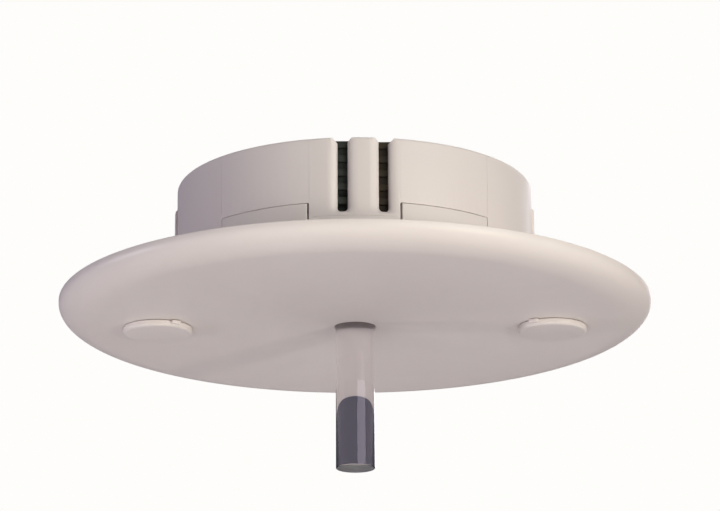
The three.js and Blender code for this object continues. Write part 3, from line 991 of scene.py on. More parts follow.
# ---------------------------------------------------------------- cover plate
@dataclass
class CoverPlate:
    """The round plate, with its wells, ribs and the collar segments that stand in the housing's windows."""

    edge_reach: float = 11.2
    edge_band: float = 0.9
    wall: float = 2.5
    rim: float = 3.0
    hole_rounding: float = 0.5
    boss_wall: float = 3.4
    boss_top: float = 6.0
    rib_radius: float = 46.8
    rib_width: float = 2.6
    well_radius: float = 9.0
    well_wall: float = 2.0
    well_floor: float = 2.2
    screw_hole: float = 2.3
    tower_radius: float = 4.2
    tower_hole: float = 1.95
    collar_start: float = 14.85
    collar_end: float = 46.0
    collar_wall: float = 2.5
    collar_rounding: float = 0.12
    sink: float = 0.5
    extent: Extent = field(default_factory=lambda: Extent.of("cover_plate"))
    guide_gap: float = 0.2
    well_lead: float = 0.5

    def disc(self) -> Mesh:
        """The turned disc with its rounded edge, centre hole and boss.

        Returns:
            The disc.
        """
        radius = self.extent.high.x
        under = self.extent.low.z
        inside = under + self.wall
        hole = Extent.of("light_guide").high.x + self.guide_gap
        rise = -under - self.edge_band
        outer = arc((radius - self.edge_reach, under + rise), (self.edge_reach, rise), -90, 0, 24)
        inner_reach = self.edge_reach - self.rim / 2
        inner_rise = -inside - self.edge_band
        turn_in = (radius - self.rim - inner_reach, inside + inner_rise)
        inner = arc(turn_in, (inner_reach, inner_rise), 0, -90, 14)
        corners = [
            (hole, under, self.hole_rounding),
            *[(x, z, 0.0) for x, z in outer],
            (radius, 0.0, 0.25),
            (radius - self.rim, 0.0, EASED),
            *[(x, z, 0.0) for x, z in inner],
            (self.rib_radius + self.rib_width / 2, inside, SOFT),
            (self.rib_radius + self.rib_width / 2, 0.0, EASED),
            (self.rib_radius - self.rib_width / 2, 0.0, EASED),
            (self.rib_radius - self.rib_width / 2, inside, SOFT),
            (hole + self.boss_wall, inside, 0.8),
            (hole + self.boss_wall, self.boss_top, SOFT),
            (hole, self.boss_top, EASED),
        ]
        return spun(rounded(corners), FINE_STEPS)

    def collar(self, start: float) -> Mesh:
        """One collar segment, from an angle round from the front.

        Args:
            start: where it begins, in degrees round from the front.

        Returns:
            The segment.
        """
        outer = Housing.wall_radius()
        inner = outer - self.collar_wall
        foot = self.extent.low.z + self.wall - self.sink
        top = self.extent.high.z
        corners = [(inner, foot, 0.0), (outer, foot, 0.0), (outer, top, 0.0), (inner, top, 0.0)]
        sector = spun(rounded(corners), 40, turn=self.collar_end - self.collar_start)
        return turned_about(softened(sector, self.collar_rounding, 3), start)

    def tools(self) -> list[tuple[Trim, Mesh]]:
        """What is joined to the disc and cut from it.

        Returns:
            Each shape and how it acts.
        """
        under = self.extent.low.z
        inside = under + self.wall
        foot = inside - self.sink
        tools = []
        for turn in (self.collar_start, -self.collar_end):
            tools.append((Trim.JOIN, self.collar(turn)))
            tools.append((Trim.JOIN, self.collar(turn + 180.0)))
        outer = self.well_radius + self.well_wall
        for side in Side:
            x = side.value * Extent.of("screw_cap_right").middle.x
            screw_x = side.value * self.rib_radius
            mouth = [
                (0.0, under - OVERSHOOT, 0.0),
                (self.well_radius + self.well_lead, under - OVERSHOOT, 0.0),
                (self.well_radius + self.well_lead, under, 0.0),
                (self.well_radius, under + self.well_lead, 0.0),
                (self.well_radius, -self.well_floor, 0.5),
                (0.0, -self.well_floor, 0.0),
            ]
            recess = moved(lathed(mouth, MEDIUM_STEPS), (x, 0.0, 0.0))
            tools.append((Trim.JOIN, drum(outer, foot, 0.0, (x, 0.0), EASED, MEDIUM_STEPS)))
            tools.append((Trim.JOIN, drum(self.tower_radius, foot, 0.0, (screw_x, 0.0), EASED)))
            tools.append((Trim.CUT, recess))
            tools.append((Trim.CUT, drum(self.screw_hole, under, OVERSHOOT, (x, 0.0))))
            tools.append((Trim.CUT, drum(self.tower_hole, inside, OVERSHOOT, (screw_x, 0.0))))
        return tools

    def build(self, palette: Palette) -> Piece:
        """Makes and dresses the plate.

        Args:
            palette: the finishes.

        Returns:
            The piece.
        """
        shape = trimmed(self.disc(), self.tools())
        shell = finished(shape, "plate_shell", Body.PLATE, [palette.plate], ["cover_plate"])
        shell.cycles.is_caustics_receiver = True
        return shell


@dataclass
class ScrewCap:
    """A snap-in cap over a fixing screw, with a nib to catch it by and a pry notch."""

    side: Side
    rounding: float = 0.9
    skirt_wall: float = 1.6
    skirt_height: float = 1.8
    seat_gap: float = 0.2
    nib_width: float = 3.0
    nib_length: float = 1.3
    nib_height: float = 1.1
    nib_angle: float = 57.0
    notch_width: float = 3.0
    notch_depth: float = 0.8
    claws: int = 3
    claw_gap: float = 3.0
    well_radius: float = 9.0
    nib_root: float = 1.5
    first_gap: float = 30.0
    claw_foot: float = 0.2
    claw_reach: float = 3.0

    def build(self, palette: Palette) -> Piece:
        """Makes and dresses the cap.

        Args:
            palette: the finishes.

        Returns:
            The piece.
        """
        name = f"screw_cap_{self.side.name.lower()}"
        extent = Extent.of(name)
        radius = extent.size.x / 2
        bottom = extent.low.z
        top = Extent.of("cover_plate").low.z - self.seat_gap
        skirt = self.well_radius - self.seat_gap
        inner = skirt - self.skirt_wall
        corners = [
            (0.0, bottom, 0.0),
            (radius, bottom, self.rounding),
            (radius, top, 0.12),
            (skirt, top, CRISP),
            (skirt, top + self.skirt_height, SOFT),
            (inner, top + self.skirt_height, EASED),
            (inner, top, CRISP),
            (0.0, top, 0.0),
        ]
        shape = lathed(corners, MEDIUM_STEPS, 8)
        reach = radius + self.nib_length
        half = self.nib_width / 2
        nib = block((radius - self.nib_root, -half, top - self.nib_height), (reach, half, top), 0.25)
        inward = 180.0 if self.side is Side.RIGHT else 0.0
        nib = turned_about(nib, inward + self.side.value * self.nib_angle)
        inner_notch = radius - self.notch_depth
        half = self.notch_width / 2
        low = (inner_notch, -half, top - self.notch_depth)
        notch = block(low, (radius + OVERSHOOT, half, top + 0.1), 0.15)
        notch = turned_about(notch, inward + 180.0)
        tools = [(Trim.JOIN, nib), (Trim.CUT, notch)]
        for claw in range(self.claws):
            half = self.claw_gap / 2
            low = (inner - OVERSHOOT, -half, top + self.claw_foot)
            split = block(low, (skirt + OVERSHOOT, half, top + self.claw_reach))
            tools.append((Trim.CUT, turned_about(split, self.first_gap + claw * 360.0 / self.claws)))
        shape = moved(trimmed(shape, tools), (extent.middle.x, 0.0, 0.0))
        body = Body[f"CAP_{self.side.name}"]
        return finished(shape, f"{name}_moulding", body, [palette.plate], [name])


# ---------------------------------------------------------------- light guide
@dataclass
class LightGuide:
    """The clear bar and the steel ring that holds it in the plate's boss."""

    chamfer: float = 0.25
    groove_depth: float = 0.8
    ring_gap: float = 0.2
    ring_rounding: float = 0.25
    ring_opening: float = 50.0

    def bar(self, palette: Palette) -> Piece:
        """Makes the bar.

        Args:
            palette: the finishes.

        Returns:
            The piece.
        """
        extent = Extent.of("light_guide")
        ring = Extent.of("retaining_ring")
        radius = extent.high.x
        neck = radius - self.groove_depth
        corners = [
            (0.0, extent.low.z, 0.0),
            (radius, extent.low.z, self.chamfer),
            (radius, ring.low.z - self.ring_gap, TIGHT),
            (neck, ring.low.z - self.ring_gap, KEEN),
            (neck, ring.high.z + self.ring_gap, KEEN),
            (radius, ring.high.z + self.ring_gap, TIGHT),
            (radius, extent.high.z, self.chamfer),
            (0.0, extent.high.z, 0.0),
        ]
        shape = lathed(corners, 128, 4)
        for face in shape.faces:
            if abs(face.normal.z) > 0.99 and abs(face.calc_center_median().z) > abs(extent.high.z) - 0.5:
                face.material_index = 1
        finishes = [palette.bar, palette.bar_end]
        bar = finished(shape, "light_guide_bar", Body.PLATE, finishes, ["light_guide"], 25.0)
        bar.cycles.is_caustics_caster = True
        return bar

    def ring(self, palette: Palette) -> Piece:
        """Makes the open ring with its two rounded ends.

        Args:
            palette: the finishes.

        Returns:
            The piece.
        """
        extent = Extent.of("retaining_ring")
        outer = extent.high.y
        inner = Extent.of("light_guide").high.x - self.groove_depth + self.ring_gap
        section = [
            (inner, extent.low.z, 0.0),
            (outer, extent.low.z, 0.0),
            (outer, extent.high.z, 0.0),
            (inner, extent.high.z, 0.0),
        ]
        shape = spun(rounded(section), 72, turn=360.0 - self.ring_opening)
        shape = turned_about(softened(shape, self.ring_rounding, 3), 90.0 + self.ring_opening / 2)
        return finished(
            shape, "retaining_clip", Body.PLATE, [palette.spring], ["retaining_ring"]
        )

    def build(self, palette: Palette) -> list[Piece]:
        """Makes and dresses the bar and its ring."""
        return [self.bar(palette), self.ring(palette)]


# ---------------------------------------------------------------- housing
@dataclass(frozen=True)
class FlaredOpening:
    """A cutter for an opening in the round wall, with a lip that flares to the outside.

    It is drawn on the wall's developed surface, where u runs round the wall from the front and z upwards,
    and is then bent round the wall.
    """

    middle_u: float
    middle_z: float
    half_u: float
    half_z: float
    corner: float
    depth: float
    radius: float
    flare_u: float = 0.0
    flare_z: float = 0.0
    flare_depth: float = 0.0

    def outline(self, share: float) -> list[Point2]:
        """The opening's outline in u and z, grown outwards by a share of its flare.

        Args:
            share: how much of the flare, from 0 to 1.

        Returns:
            The outline's points.
        """
        half_u = self.half_u + self.flare_u * share
        half_z = self.half_z + self.flare_z * share
        corner = max(self.corner + min(self.flare_u, self.flare_z) * share, 0.05)
        points = []
        for turn, sign_u, sign_z in ((0, 1, 1), (90, -1, 1), (180, -1, -1), (270, 1, -1)):
            centre = (self.middle_u + sign_u * (half_u - corner), self.middle_z + sign_z * (half_z - corner))
            points += arc(centre, (corner, corner), turn, turn + 90, 8)
        return self.divided(points)

    def divided(self, points: Sequence[Point2]) -> list[Point2]:
        """Adds points along the straight stretches, so that they bend smoothly.

        Args:
            points: the outline's points, nine to a corner.

        Returns:
            The points with those between.
        """
        pieces = max(1, math.ceil(2 * self.half_u))
        result = []
        for i, point in enumerate(points):
            following = points[(i + 1) % len(points)]
            result.append(point)
            if i % 9 == 8:
                for step in range(1, pieces):
                    share = step / pieces
                    result.append(tuple(a + (b - a) * share for a, b in zip(point, following)))
        return result

    def build(self) -> Mesh:
        """Makes the cutter as loops at growing depth, bridged and closed at both ends.

        Returns:
            The cutter.
        """
        layers = [(-OVERSHOOT, 1.0)]
        steps = 8 if self.flare_depth > 0 else 1
        for step in range(steps + 1):
            turn = math.radians(90.0 * step / steps)
            layers.append((self.flare_depth * (1 - math.cos(turn)), 1 - math.sin(turn)))
        layers.append((self.depth, 0.0))
        bm = bmesh.new()
        loops = []
        for depth, grow in layers:
            verts = [bm.verts.new((u, depth, z)) for u, z in self.outline(grow)]
            loops.append([bm.edges.new((a, b)) for a, b in zip(verts, verts[1:] + verts[:1])])
        for outer, inner in zip(loops, loops[1:]):
            bmesh.ops.bridge_loops(bm, edges=outer + inner)
        for ends in (loops[0], loops[-1]):
            bmesh.ops.contextual_create(bm, geom=ends)
        for vert in bm.verts:
            u, depth, z = vert.co
            turn = u / self.radius
            reach = self.radius - depth
            vert.co = (reach * math.sin(turn), -reach * math.cos(turn), z)
        bmesh.ops.remove_doubles(bm, verts=bm.verts, dist=WELD)
        bmesh.ops.triangulate(bm, faces=[face for face in bm.faces if len(face.verts) > 4])
        bmesh.ops.recalc_face_normals(bm, faces=bm.faces)
        return bm


@dataclass(frozen=True)
class Slot:
    """A cable slot: where its middle is across the front, and its width."""

    x: float
    width: float


@dataclass
class Housing:
    """The round housing behind the plate: windows, cable slots, side lugs, posts, ledges and towers."""

    wall: float = 2.5
    floor: float = 2.0
    rim_rounding: float = 0.9
    slots: tuple[Slot, ...] = (Slot(-3.6, 3.1), Slot(8.8, 3.0))
    slot_bottom: float = 13.6
    slot_corner: float = 1.2
    slot_lip: float = 3.0
    slot_lip_foot: float = 1.2
    slot_lip_depth: float = 1.7
    mouth_reach: float = 1.5
    mouth_depth: float = 1.5
    window_start: float = 14.2
    window_end: float = 46.3
    window_flare: float = 0.08
    window_gap: float = 0.16
    line_width: float = 0.1
    line_depth: float = 0.08
    step_line: float = 12.0
    lug_top: float = 28.6
    lug_half: float = 7.5
    lug_chamfer: float = 0.7
    tower_top: float = 12.3
    tower_radius: float = 4.2
    tower_inset: float = 5.1
    tower_web: float = 2.0
    post_radius: float = 3.0
    post_circle: float = 37.5
    post_angles: tuple[float, ...] = (60.0, 180.0, 300.0)
    ledge_angles: tuple[float, ...] = (70.0, 180.0, 290.0)
    ledge_depth: float = 3.4
    ledge_width: float = 5.0
    sensor_hole: float = 4.0
    screw_hole: float = 1.95
    post_hole: float = 1.3
    post_hole_depth: float = 6.0
    gap: float = 0.3
    extent: Extent = field(default_factory=lambda: Extent.of("housing_can"))
    guide_gap: float = 4.0
    window_drop: float = 2.0
    window_past: float = 0.4
    slot_past: float = 2.0
    wedge_past: float = 1.5
    line_rise: float = 1.5
    pad_margin: float = 1.2
    post_root: float = 0.5

    @staticmethod
    def wall_radius() -> float:
        """The wall's outer radius, which the front of the housing shows."""
        return Extent.of("housing_can").high.y

    def cup(self) -> Mesh:
        """The turned cup with its floor, wall and rounded rim.

        Returns:
            The cup.
        """
        radius = self.wall_radius()
        inside = radius - self.wall
        low = self.extent.low.z
        high = self.extent.high.z
        hole = Extent.of("light_guide").high.x + self.guide_gap
        corners = [
            (hole, low, CRISP),
            (radius, low, EASED),
            (radius, high, self.rim_rounding),
            (inside, high, 0.5),
            (inside, low + self.floor, 0.8),
            (hole, low + self.floor, EASED),
        ]
        return spun(rounded(corners), FINE_STEPS)

    def lug(self, side: Side) -> Mesh:
        """A raised pad on the wall, beside a fixing screw, with its top chamfered.

        Args:
            side: the side it stands on.

        Returns:
            The pad.
        """
        radius = self.wall_radius()
        proud = self.extent.high.x
        corners = [
            (radius - self.wall / 2, self.extent.low.z, 0.0),
            (proud, self.extent.low.z, 0.0),
            (proud, self.lug_top - self.lug_chamfer, CRISP),
            (radius, self.lug_top, KEEN),
            (radius - self.wall / 2, self.lug_top, 0.0),
        ]
        half_turn = math.degrees(self.lug_half / radius)
        sector = spun(rounded(corners), 16, turn=2 * half_turn)
        return turned_about(sector, side.value * 90.0 - half_turn)

    def openings(self) -> list[Mesh]:
        """Cutters for the windows in the wall.

        Returns:
            The windows' cutters.
        """
        radius = self.wall_radius()
        per_degree = math.radians(1.0) * radius
        collar_top = Extent.of("cover_plate").high.z
        top = collar_top + self.window_gap
        low = self.extent.low.z - self.window_drop
        middle = (self.window_start + self.window_end) / 2 * per_degree
        half = (self.window_end - self.window_start) / 2 * per_degree
        half_z = (top - low) / 2
        through = self.wall + self.window_past
        cutters = []
        flares = (self.window_flare,) * 3
        for place in (middle, -middle, middle + math.pi * radius, math.pi * radius - middle):
            opening = FlaredOpening(place, low + half_z, half, half_z, 0.3, through, radius, *flares)
            cutters.append(opening.build())
        return cutters

    def slot_cutters(self) -> list[Mesh]:
        """Cutters for the two cable slots, open at the rim.

        Returns:
            The cutters.
        """
        radius = self.wall_radius()
        cutters = []
        for slot in self.slots:
            half = slot.width / 2
            high = self.extent.high.z + 3.0 * self.slot_lip
            half_z = (high - self.slot_bottom) / 2
            opening = FlaredOpening(
                radius * math.asin(slot.x / radius),
                self.slot_bottom + half_z,
                half,
                half_z,
                self.slot_corner,
                self.wall + OVERSHOOT,
                radius,
                self.slot_lip,
                self.slot_lip_foot,
                self.slot_lip_depth,
            )
            cutters.append(opening.build())
        return cutters

    def mouths(self) -> list[Mesh]:
        """Cutters for the chamfered entries of the slots at the rim.

        Returns:
            The cutters.
        """
        rim = self.extent.high.z
        radius = self.wall_radius()
        cutters = []
        for slot in self.slots:
            half = slot.width / 2
            wide = half + self.mouth_reach
            foot = rim - self.mouth_depth
            outline = [
                (-half, foot, 0.0),
                (half, foot, 0.0),
                (wide, rim, SOFT),
                (wide, rim + self.slot_past, 0.0),
                (-wide, rim + self.slot_past, 0.0),
                (-wide, rim, SOFT),
            ]
            wedge = turned_about(prism(rounded(outline), 0.0, self.wall + 2.0 * self.wedge_past), 90.0, "X")
            cutters.append(moved(wedge, (slot.x, -radius + self.wall + self.wedge_past, 0.0)))
        return cutters

    def lines(self) -> list[Mesh]:
        """Cutters for the witness lines where the mould's slides meet.

        Returns:
            The cutters.
        """
        radius = self.wall_radius()
        per_degree = math.radians(1.0) * radius
        collar_top = Extent.of("cover_plate").high.z
        high = self.extent.high.z
        half_z = (high - collar_top) / 2
        half = self.line_width / 2
        cutters = []
        for degrees in (self.window_start, -self.window_start, self.window_end, -self.window_end):
            middle = collar_top + half_z + self.line_rise
            line = FlaredOpening(degrees * per_degree, middle, half, half_z, TIGHT, self.line_depth, radius)
            cutters.append(line.build())
        pad_half = (self.window_start - self.pad_margin) * per_degree
        step = FlaredOpening(0.0, self.step_line, pad_half, half, TIGHT, 2.0 * self.line_depth, radius)
        cutters.append(step.build())
        return cutters

    def inner_parts(self) -> list[Mesh]:
        """Towers, posts and ledges that stand on the floor.

        Returns:
            The parts.
        """
        foot = self.extent.low.z + self.floor - self.post_root
        inside = self.wall_radius() - self.wall
        board = Extent.of("circuit_board")
        lid = Extent.of("housing_lid")
        parts = []
        for side in Side:
            x = side.value * (inside - self.tower_inset)
            near, far = sorted((x, side.value * (inside + self.wall / 2)))
            web_top = self.tower_top - self.tower_web
            half = self.tower_web / 2
            parts.append(drum(self.tower_radius, foot, self.tower_top, (x, 0.0), EASED))
            parts.append(block((near, -half, foot), (far, half, web_top)))
        for degrees in self.post_angles:
            at = round_front(self.post_circle, degrees)
            parts.append(drum(self.post_radius, foot, board.low.z - self.gap, at, EASED))
        for degrees in self.ledge_angles:
            low = (-self.ledge_width / 2, -(inside + self.wall / 2), foot)
            high = (self.ledge_width / 2, -(inside - self.ledge_depth), lid.low.z - self.gap)
            parts.append(turned_about(block(low, high, SOFT), degrees))
        return parts

    def holes(self) -> list[Mesh]:
        """Cutters for the screw holes and the heat sensor's hole.

        Returns:
            The cutters.
        """
        inside = self.wall_radius() - self.wall
        sensor = Extent.of("sensing_thermistor").middle
        board = Extent.of("circuit_board")
        top = self.extent.low.z + self.floor + OVERSHOOT
        cutters = [drum(self.sensor_hole, -OVERSHOOT, top, (sensor.x, sensor.y))]
        for side in Side:
            x = side.value * (inside - self.tower_inset)
            cutters.append(drum(self.screw_hole, -OVERSHOOT, self.tower_top + OVERSHOOT, (x, 0.0)))
        for degrees in self.post_angles:
            at = round_front(self.post_circle, degrees)
            cutters.append(drum(self.post_hole, board.low.z - self.post_hole_depth, board.high.z, at))
        return cutters

    def build(self, palette: Palette) -> Piece:
        """Makes and dresses the housing.

        Args:
            palette: the finishes.

        Returns:
            The piece.
        """
        tools = [(Trim.JOIN, self.lug(side)) for side in Side]
        tools += [(Trim.JOIN, part) for part in self.inner_parts()]
        tools += [(Trim.CUT, gathered(self.openings()))]
        tools += [(Trim.CUT, cutter) for cutter in self.slot_cutters() + self.mouths()]
        tools += [(Trim.CUT, cutter) for cutter in self.lines()]
        tools += [(Trim.CUT, gathered(self.holes()))]
        shape = trimmed(self.cup(), tools)
        return finished(shape, "housing_shell", Body.PLATE, [palette.housing], ["housing_can"])


def round_front(radius: float, degrees: float) -> Point2:
    """A place on a circle, at an angle round from the front towards +X."""
    turn = math.radians(degrees - 90.0)
    return (radius * math.cos(turn), radius * math.sin(turn))


@dataclass
class WiringCover:
    """The lift-off lid in the housing's open top."""

    rounding: float = 0.4
    relief_behind: float = 2.0
    relief_gap: float = 0.3
    tab_rounding: float = 0.25
    tab: tuple[float, float, float] = (18.0, 2.4, 0.7)
    dish_rim: float = 3.0
    dish_foot: float = 3.6
    dish_depth: float = 0.5

    def build(self, palette: Palette) -> Piece:
        """Makes and dresses the lid.

        Args:
            palette: the finishes.

        Returns:
            The piece.
        """
        extent = Extent.of("housing_lid")
        left = Extent.of("cable_seal_left")
        right = Extent.of("cable_seal_right")
        radius = extent.high.y
        top = extent.high.z - self.tab[2]
        corners = [
            (0.0, extent.low.z, 0.0),
            (radius, extent.low.z, self.rounding),
            (radius, top, self.rounding),
            (radius - self.dish_rim, top, EASED),
            (radius - self.dish_foot, top - self.dish_depth, EASED),
            (0.0, top - 0.5, 0.0),
        ]
        disc = lathed(corners, FINE_STEPS)
        half_x, half_y = self.tab[0] / 2, self.tab[1] / 2
        tab = block((-half_x, -half_y, top - OVERSHOOT), (half_x, half_y, extent.high.z), self.tab_rounding)
        edge = max(left.high.y, right.high.y) + self.relief_behind
        gap = self.relief_gap
        low = (left.low.x - gap, -radius - 2.0, extent.low.z - OVERSHOOT)
        relief = block(low, (right.high.x + gap, edge, extent.high.z + OVERSHOOT))
        shape = trimmed(disc, [(Trim.JOIN, tab), (Trim.CUT, relief)])
        return finished(shape, "wiring_cover", Body.LID, [palette.housing], ["housing_lid"])


@dataclass
class CableSeal:
    """A ribbed rubber seal behind a cable slot."""

    node_name: str
    rib_pitch: float = 4.3
    rib_height: float = 2.2
    rib_depth: float = 1.0
    rounding: float = 0.4

    def build(self, finish: Material) -> Piece:
        """Makes the seal as a block whose front is ribbed.

        Args:
            finish: the rubber.

        Returns:
            The piece.
        """
        extent = Extent.of(self.node_name)
        front = extent.low.y
        core = block((extent.low.x, front + self.rib_depth, extent.low.z), extent.high, self.rounding)
        tools = []
        count = int(extent.size.z // self.rib_pitch)
        for rib in range(count):
            top = extent.high.z - rib * self.rib_pitch
            low = (extent.low.x, front, top - self.rib_height)
            high = (extent.high.x, extent.high.y - 0.3, top)
            tools.append((Trim.JOIN, block(low, high, self.rounding)))
        shape = trimmed(core, tools)
        name = f"{self.node_name}_moulding"
        return finished(shape, name, Body.PLATE, [finish], [self.node_name])


# ---------------------------------------------------------------- fasteners
class Recess(Enum):
    """The driver recess in a screw's head."""

    SLOT = 1
    COMBINED = 2


@dataclass
class PanScrew:
    """A pan-head screw with a rolled thread, drawn with its seat at the origin and its shank down."""

    node_name: str
    body: Body
    shank: float
    pitch: float
    recess: Recess
    recess_width: float
    recess_depth: float
    head_up: bool = True
    head_height: float = 2.0
    thread_depth: float = 0.4
    neck: float = 0.6
    dome: float = 0.9
    steps: int = 18
    point_share: float = 0.35
    point_length: float = 1.6
    thread_share: float = 0.36
    crest: float = 0.08

    def core(self, head: float, length: float) -> Mesh:
        """The head and the plain shank with its point.

        Args:
            head: the head's radius.
            length: the shank's length.

        Returns:
            A closed mesh.
        """
        root = self.shank - self.thread_depth
        corners = [
            (0.0, -length, 0.0),
            (root * self.point_share, -length, CRISP),
            (root, -length + self.point_length * root, EASED),
            (root, -0.2, 0.15),
            (self.shank, 0.0, 0.0),
            (head, 0.0, 0.25),
            (head, self.head_height, self.dome),
            (0.0, self.head_height, 0.0),
        ]
        return lathed(corners, SMALL_STEPS)

    def thread(self, length: float) -> Mesh:
        """The ridge that winds down the shank.

        Args:
            length: the shank's length.

        Returns:
            A closed mesh.
        """
        root = self.shank - self.thread_depth - 0.1
        half = self.thread_share * self.pitch
        turns = int((length - self.neck - self.point_length * self.shank) / self.pitch)
        bm = bmesh.new()
        top = -self.neck - half
        thread = [(self.shank, top + self.crest), (self.shank, top - self.crest)]
        section = [(root, top + half), *thread, (root, top - half)]
        face = bm.faces.new([bm.verts.new((0.0, -x, z)) for x, z in section])
        bmesh.ops.spin(
            bm,
            geom=face.verts[:] + face.edges[:] + [face],
            cent=(0, 0, 0),
            axis=(0, 0, 1),
            dvec=(0, 0, -self.pitch / self.steps),
            angle=turns * FULL_TURN,
            steps=turns * self.steps,
        )
        return welded(bm)

    def build(self, finish: Material) -> Piece:
        """Makes and dresses the screw.

        Args:
            finish: the plated steel.

        Returns:
            The piece.
        """
        extent = Extent.of(self.node_name)
        head = extent.size.y / 2
        length = extent.size.z - self.head_height
        half = self.recess_width / 2
        floor = self.head_height - self.recess_depth
        roof = self.head_height + OVERSHOOT
        tools = [(Trim.JOIN, self.thread(length))]
        tools.append((Trim.CUT, block((-head - OVERSHOOT, -half, floor), (head + OVERSHOOT, half, roof))))
        if self.recess is Recess.COMBINED:
            tools.append((Trim.CUT, block((-half, -0.55 * head, floor), (half, 0.55 * head, roof))))
        shape = trimmed(self.core(head, length), tools)
        if self.head_up:
            seat = extent.high.z - self.head_height
        else:
            seat = extent.low.z + self.head_height
            turned_about(shape, 180.0, "X")
        moved(shape, extent.over(seat))
        name = f"{self.node_name}_pan_head"
        return finished(shape, name, self.body, [finish], [self.node_name])


@dataclass
class Fasteners:
    """Every screw of the detector but those in the terminals."""

    fixing_pitch: float = 1.6
    housing_pitch: float = 1.35
    board_pitch: float = 0.9
    board_screws: int = 3

    def build(self, palette: Palette) -> list[Piece]:
        """Makes and dresses the screws.

        Args:
            palette: the finishes.

        Returns:
            The screws.
        """
        screws = []
        for side in Side:
            name = side.name.lower()
            fixing = PanScrew(
                node_name=f"fixing_screw_{name}",
                body=Body[f"FIXING_{side.name}"],
                shank=2.1,
                pitch=self.fixing_pitch,
                recess=Recess.SLOT,
                recess_width=1.0,
                recess_depth=1.2,
                head_up=False,
                head_height=2.4,
                thread_depth=0.5,
            )
            housing = PanScrew(
                node_name=f"housing_screw_{name}",
                body=Body.PLATE,
                shank=1.75,
                pitch=self.housing_pitch,
                recess=Recess.COMBINED,
                recess_width=0.9,
                recess_depth=1.0,
            )
            screws += [fixing, housing]
        for number in range(1, self.board_screws + 1):
            board = PanScrew(
                node_name=f"board_screw_{number}",
                body=Body.PLATE,
                shank=1.1,
                pitch=self.board_pitch,
                recess=Recess.COMBINED,
                recess_width=0.7,
                recess_depth=0.8,
                head_height=1.5,
                thread_depth=0.25,
                dome=0.6,
            )
            screws.append(board)
        return [screw.build(palette.zinc) for screw in screws]


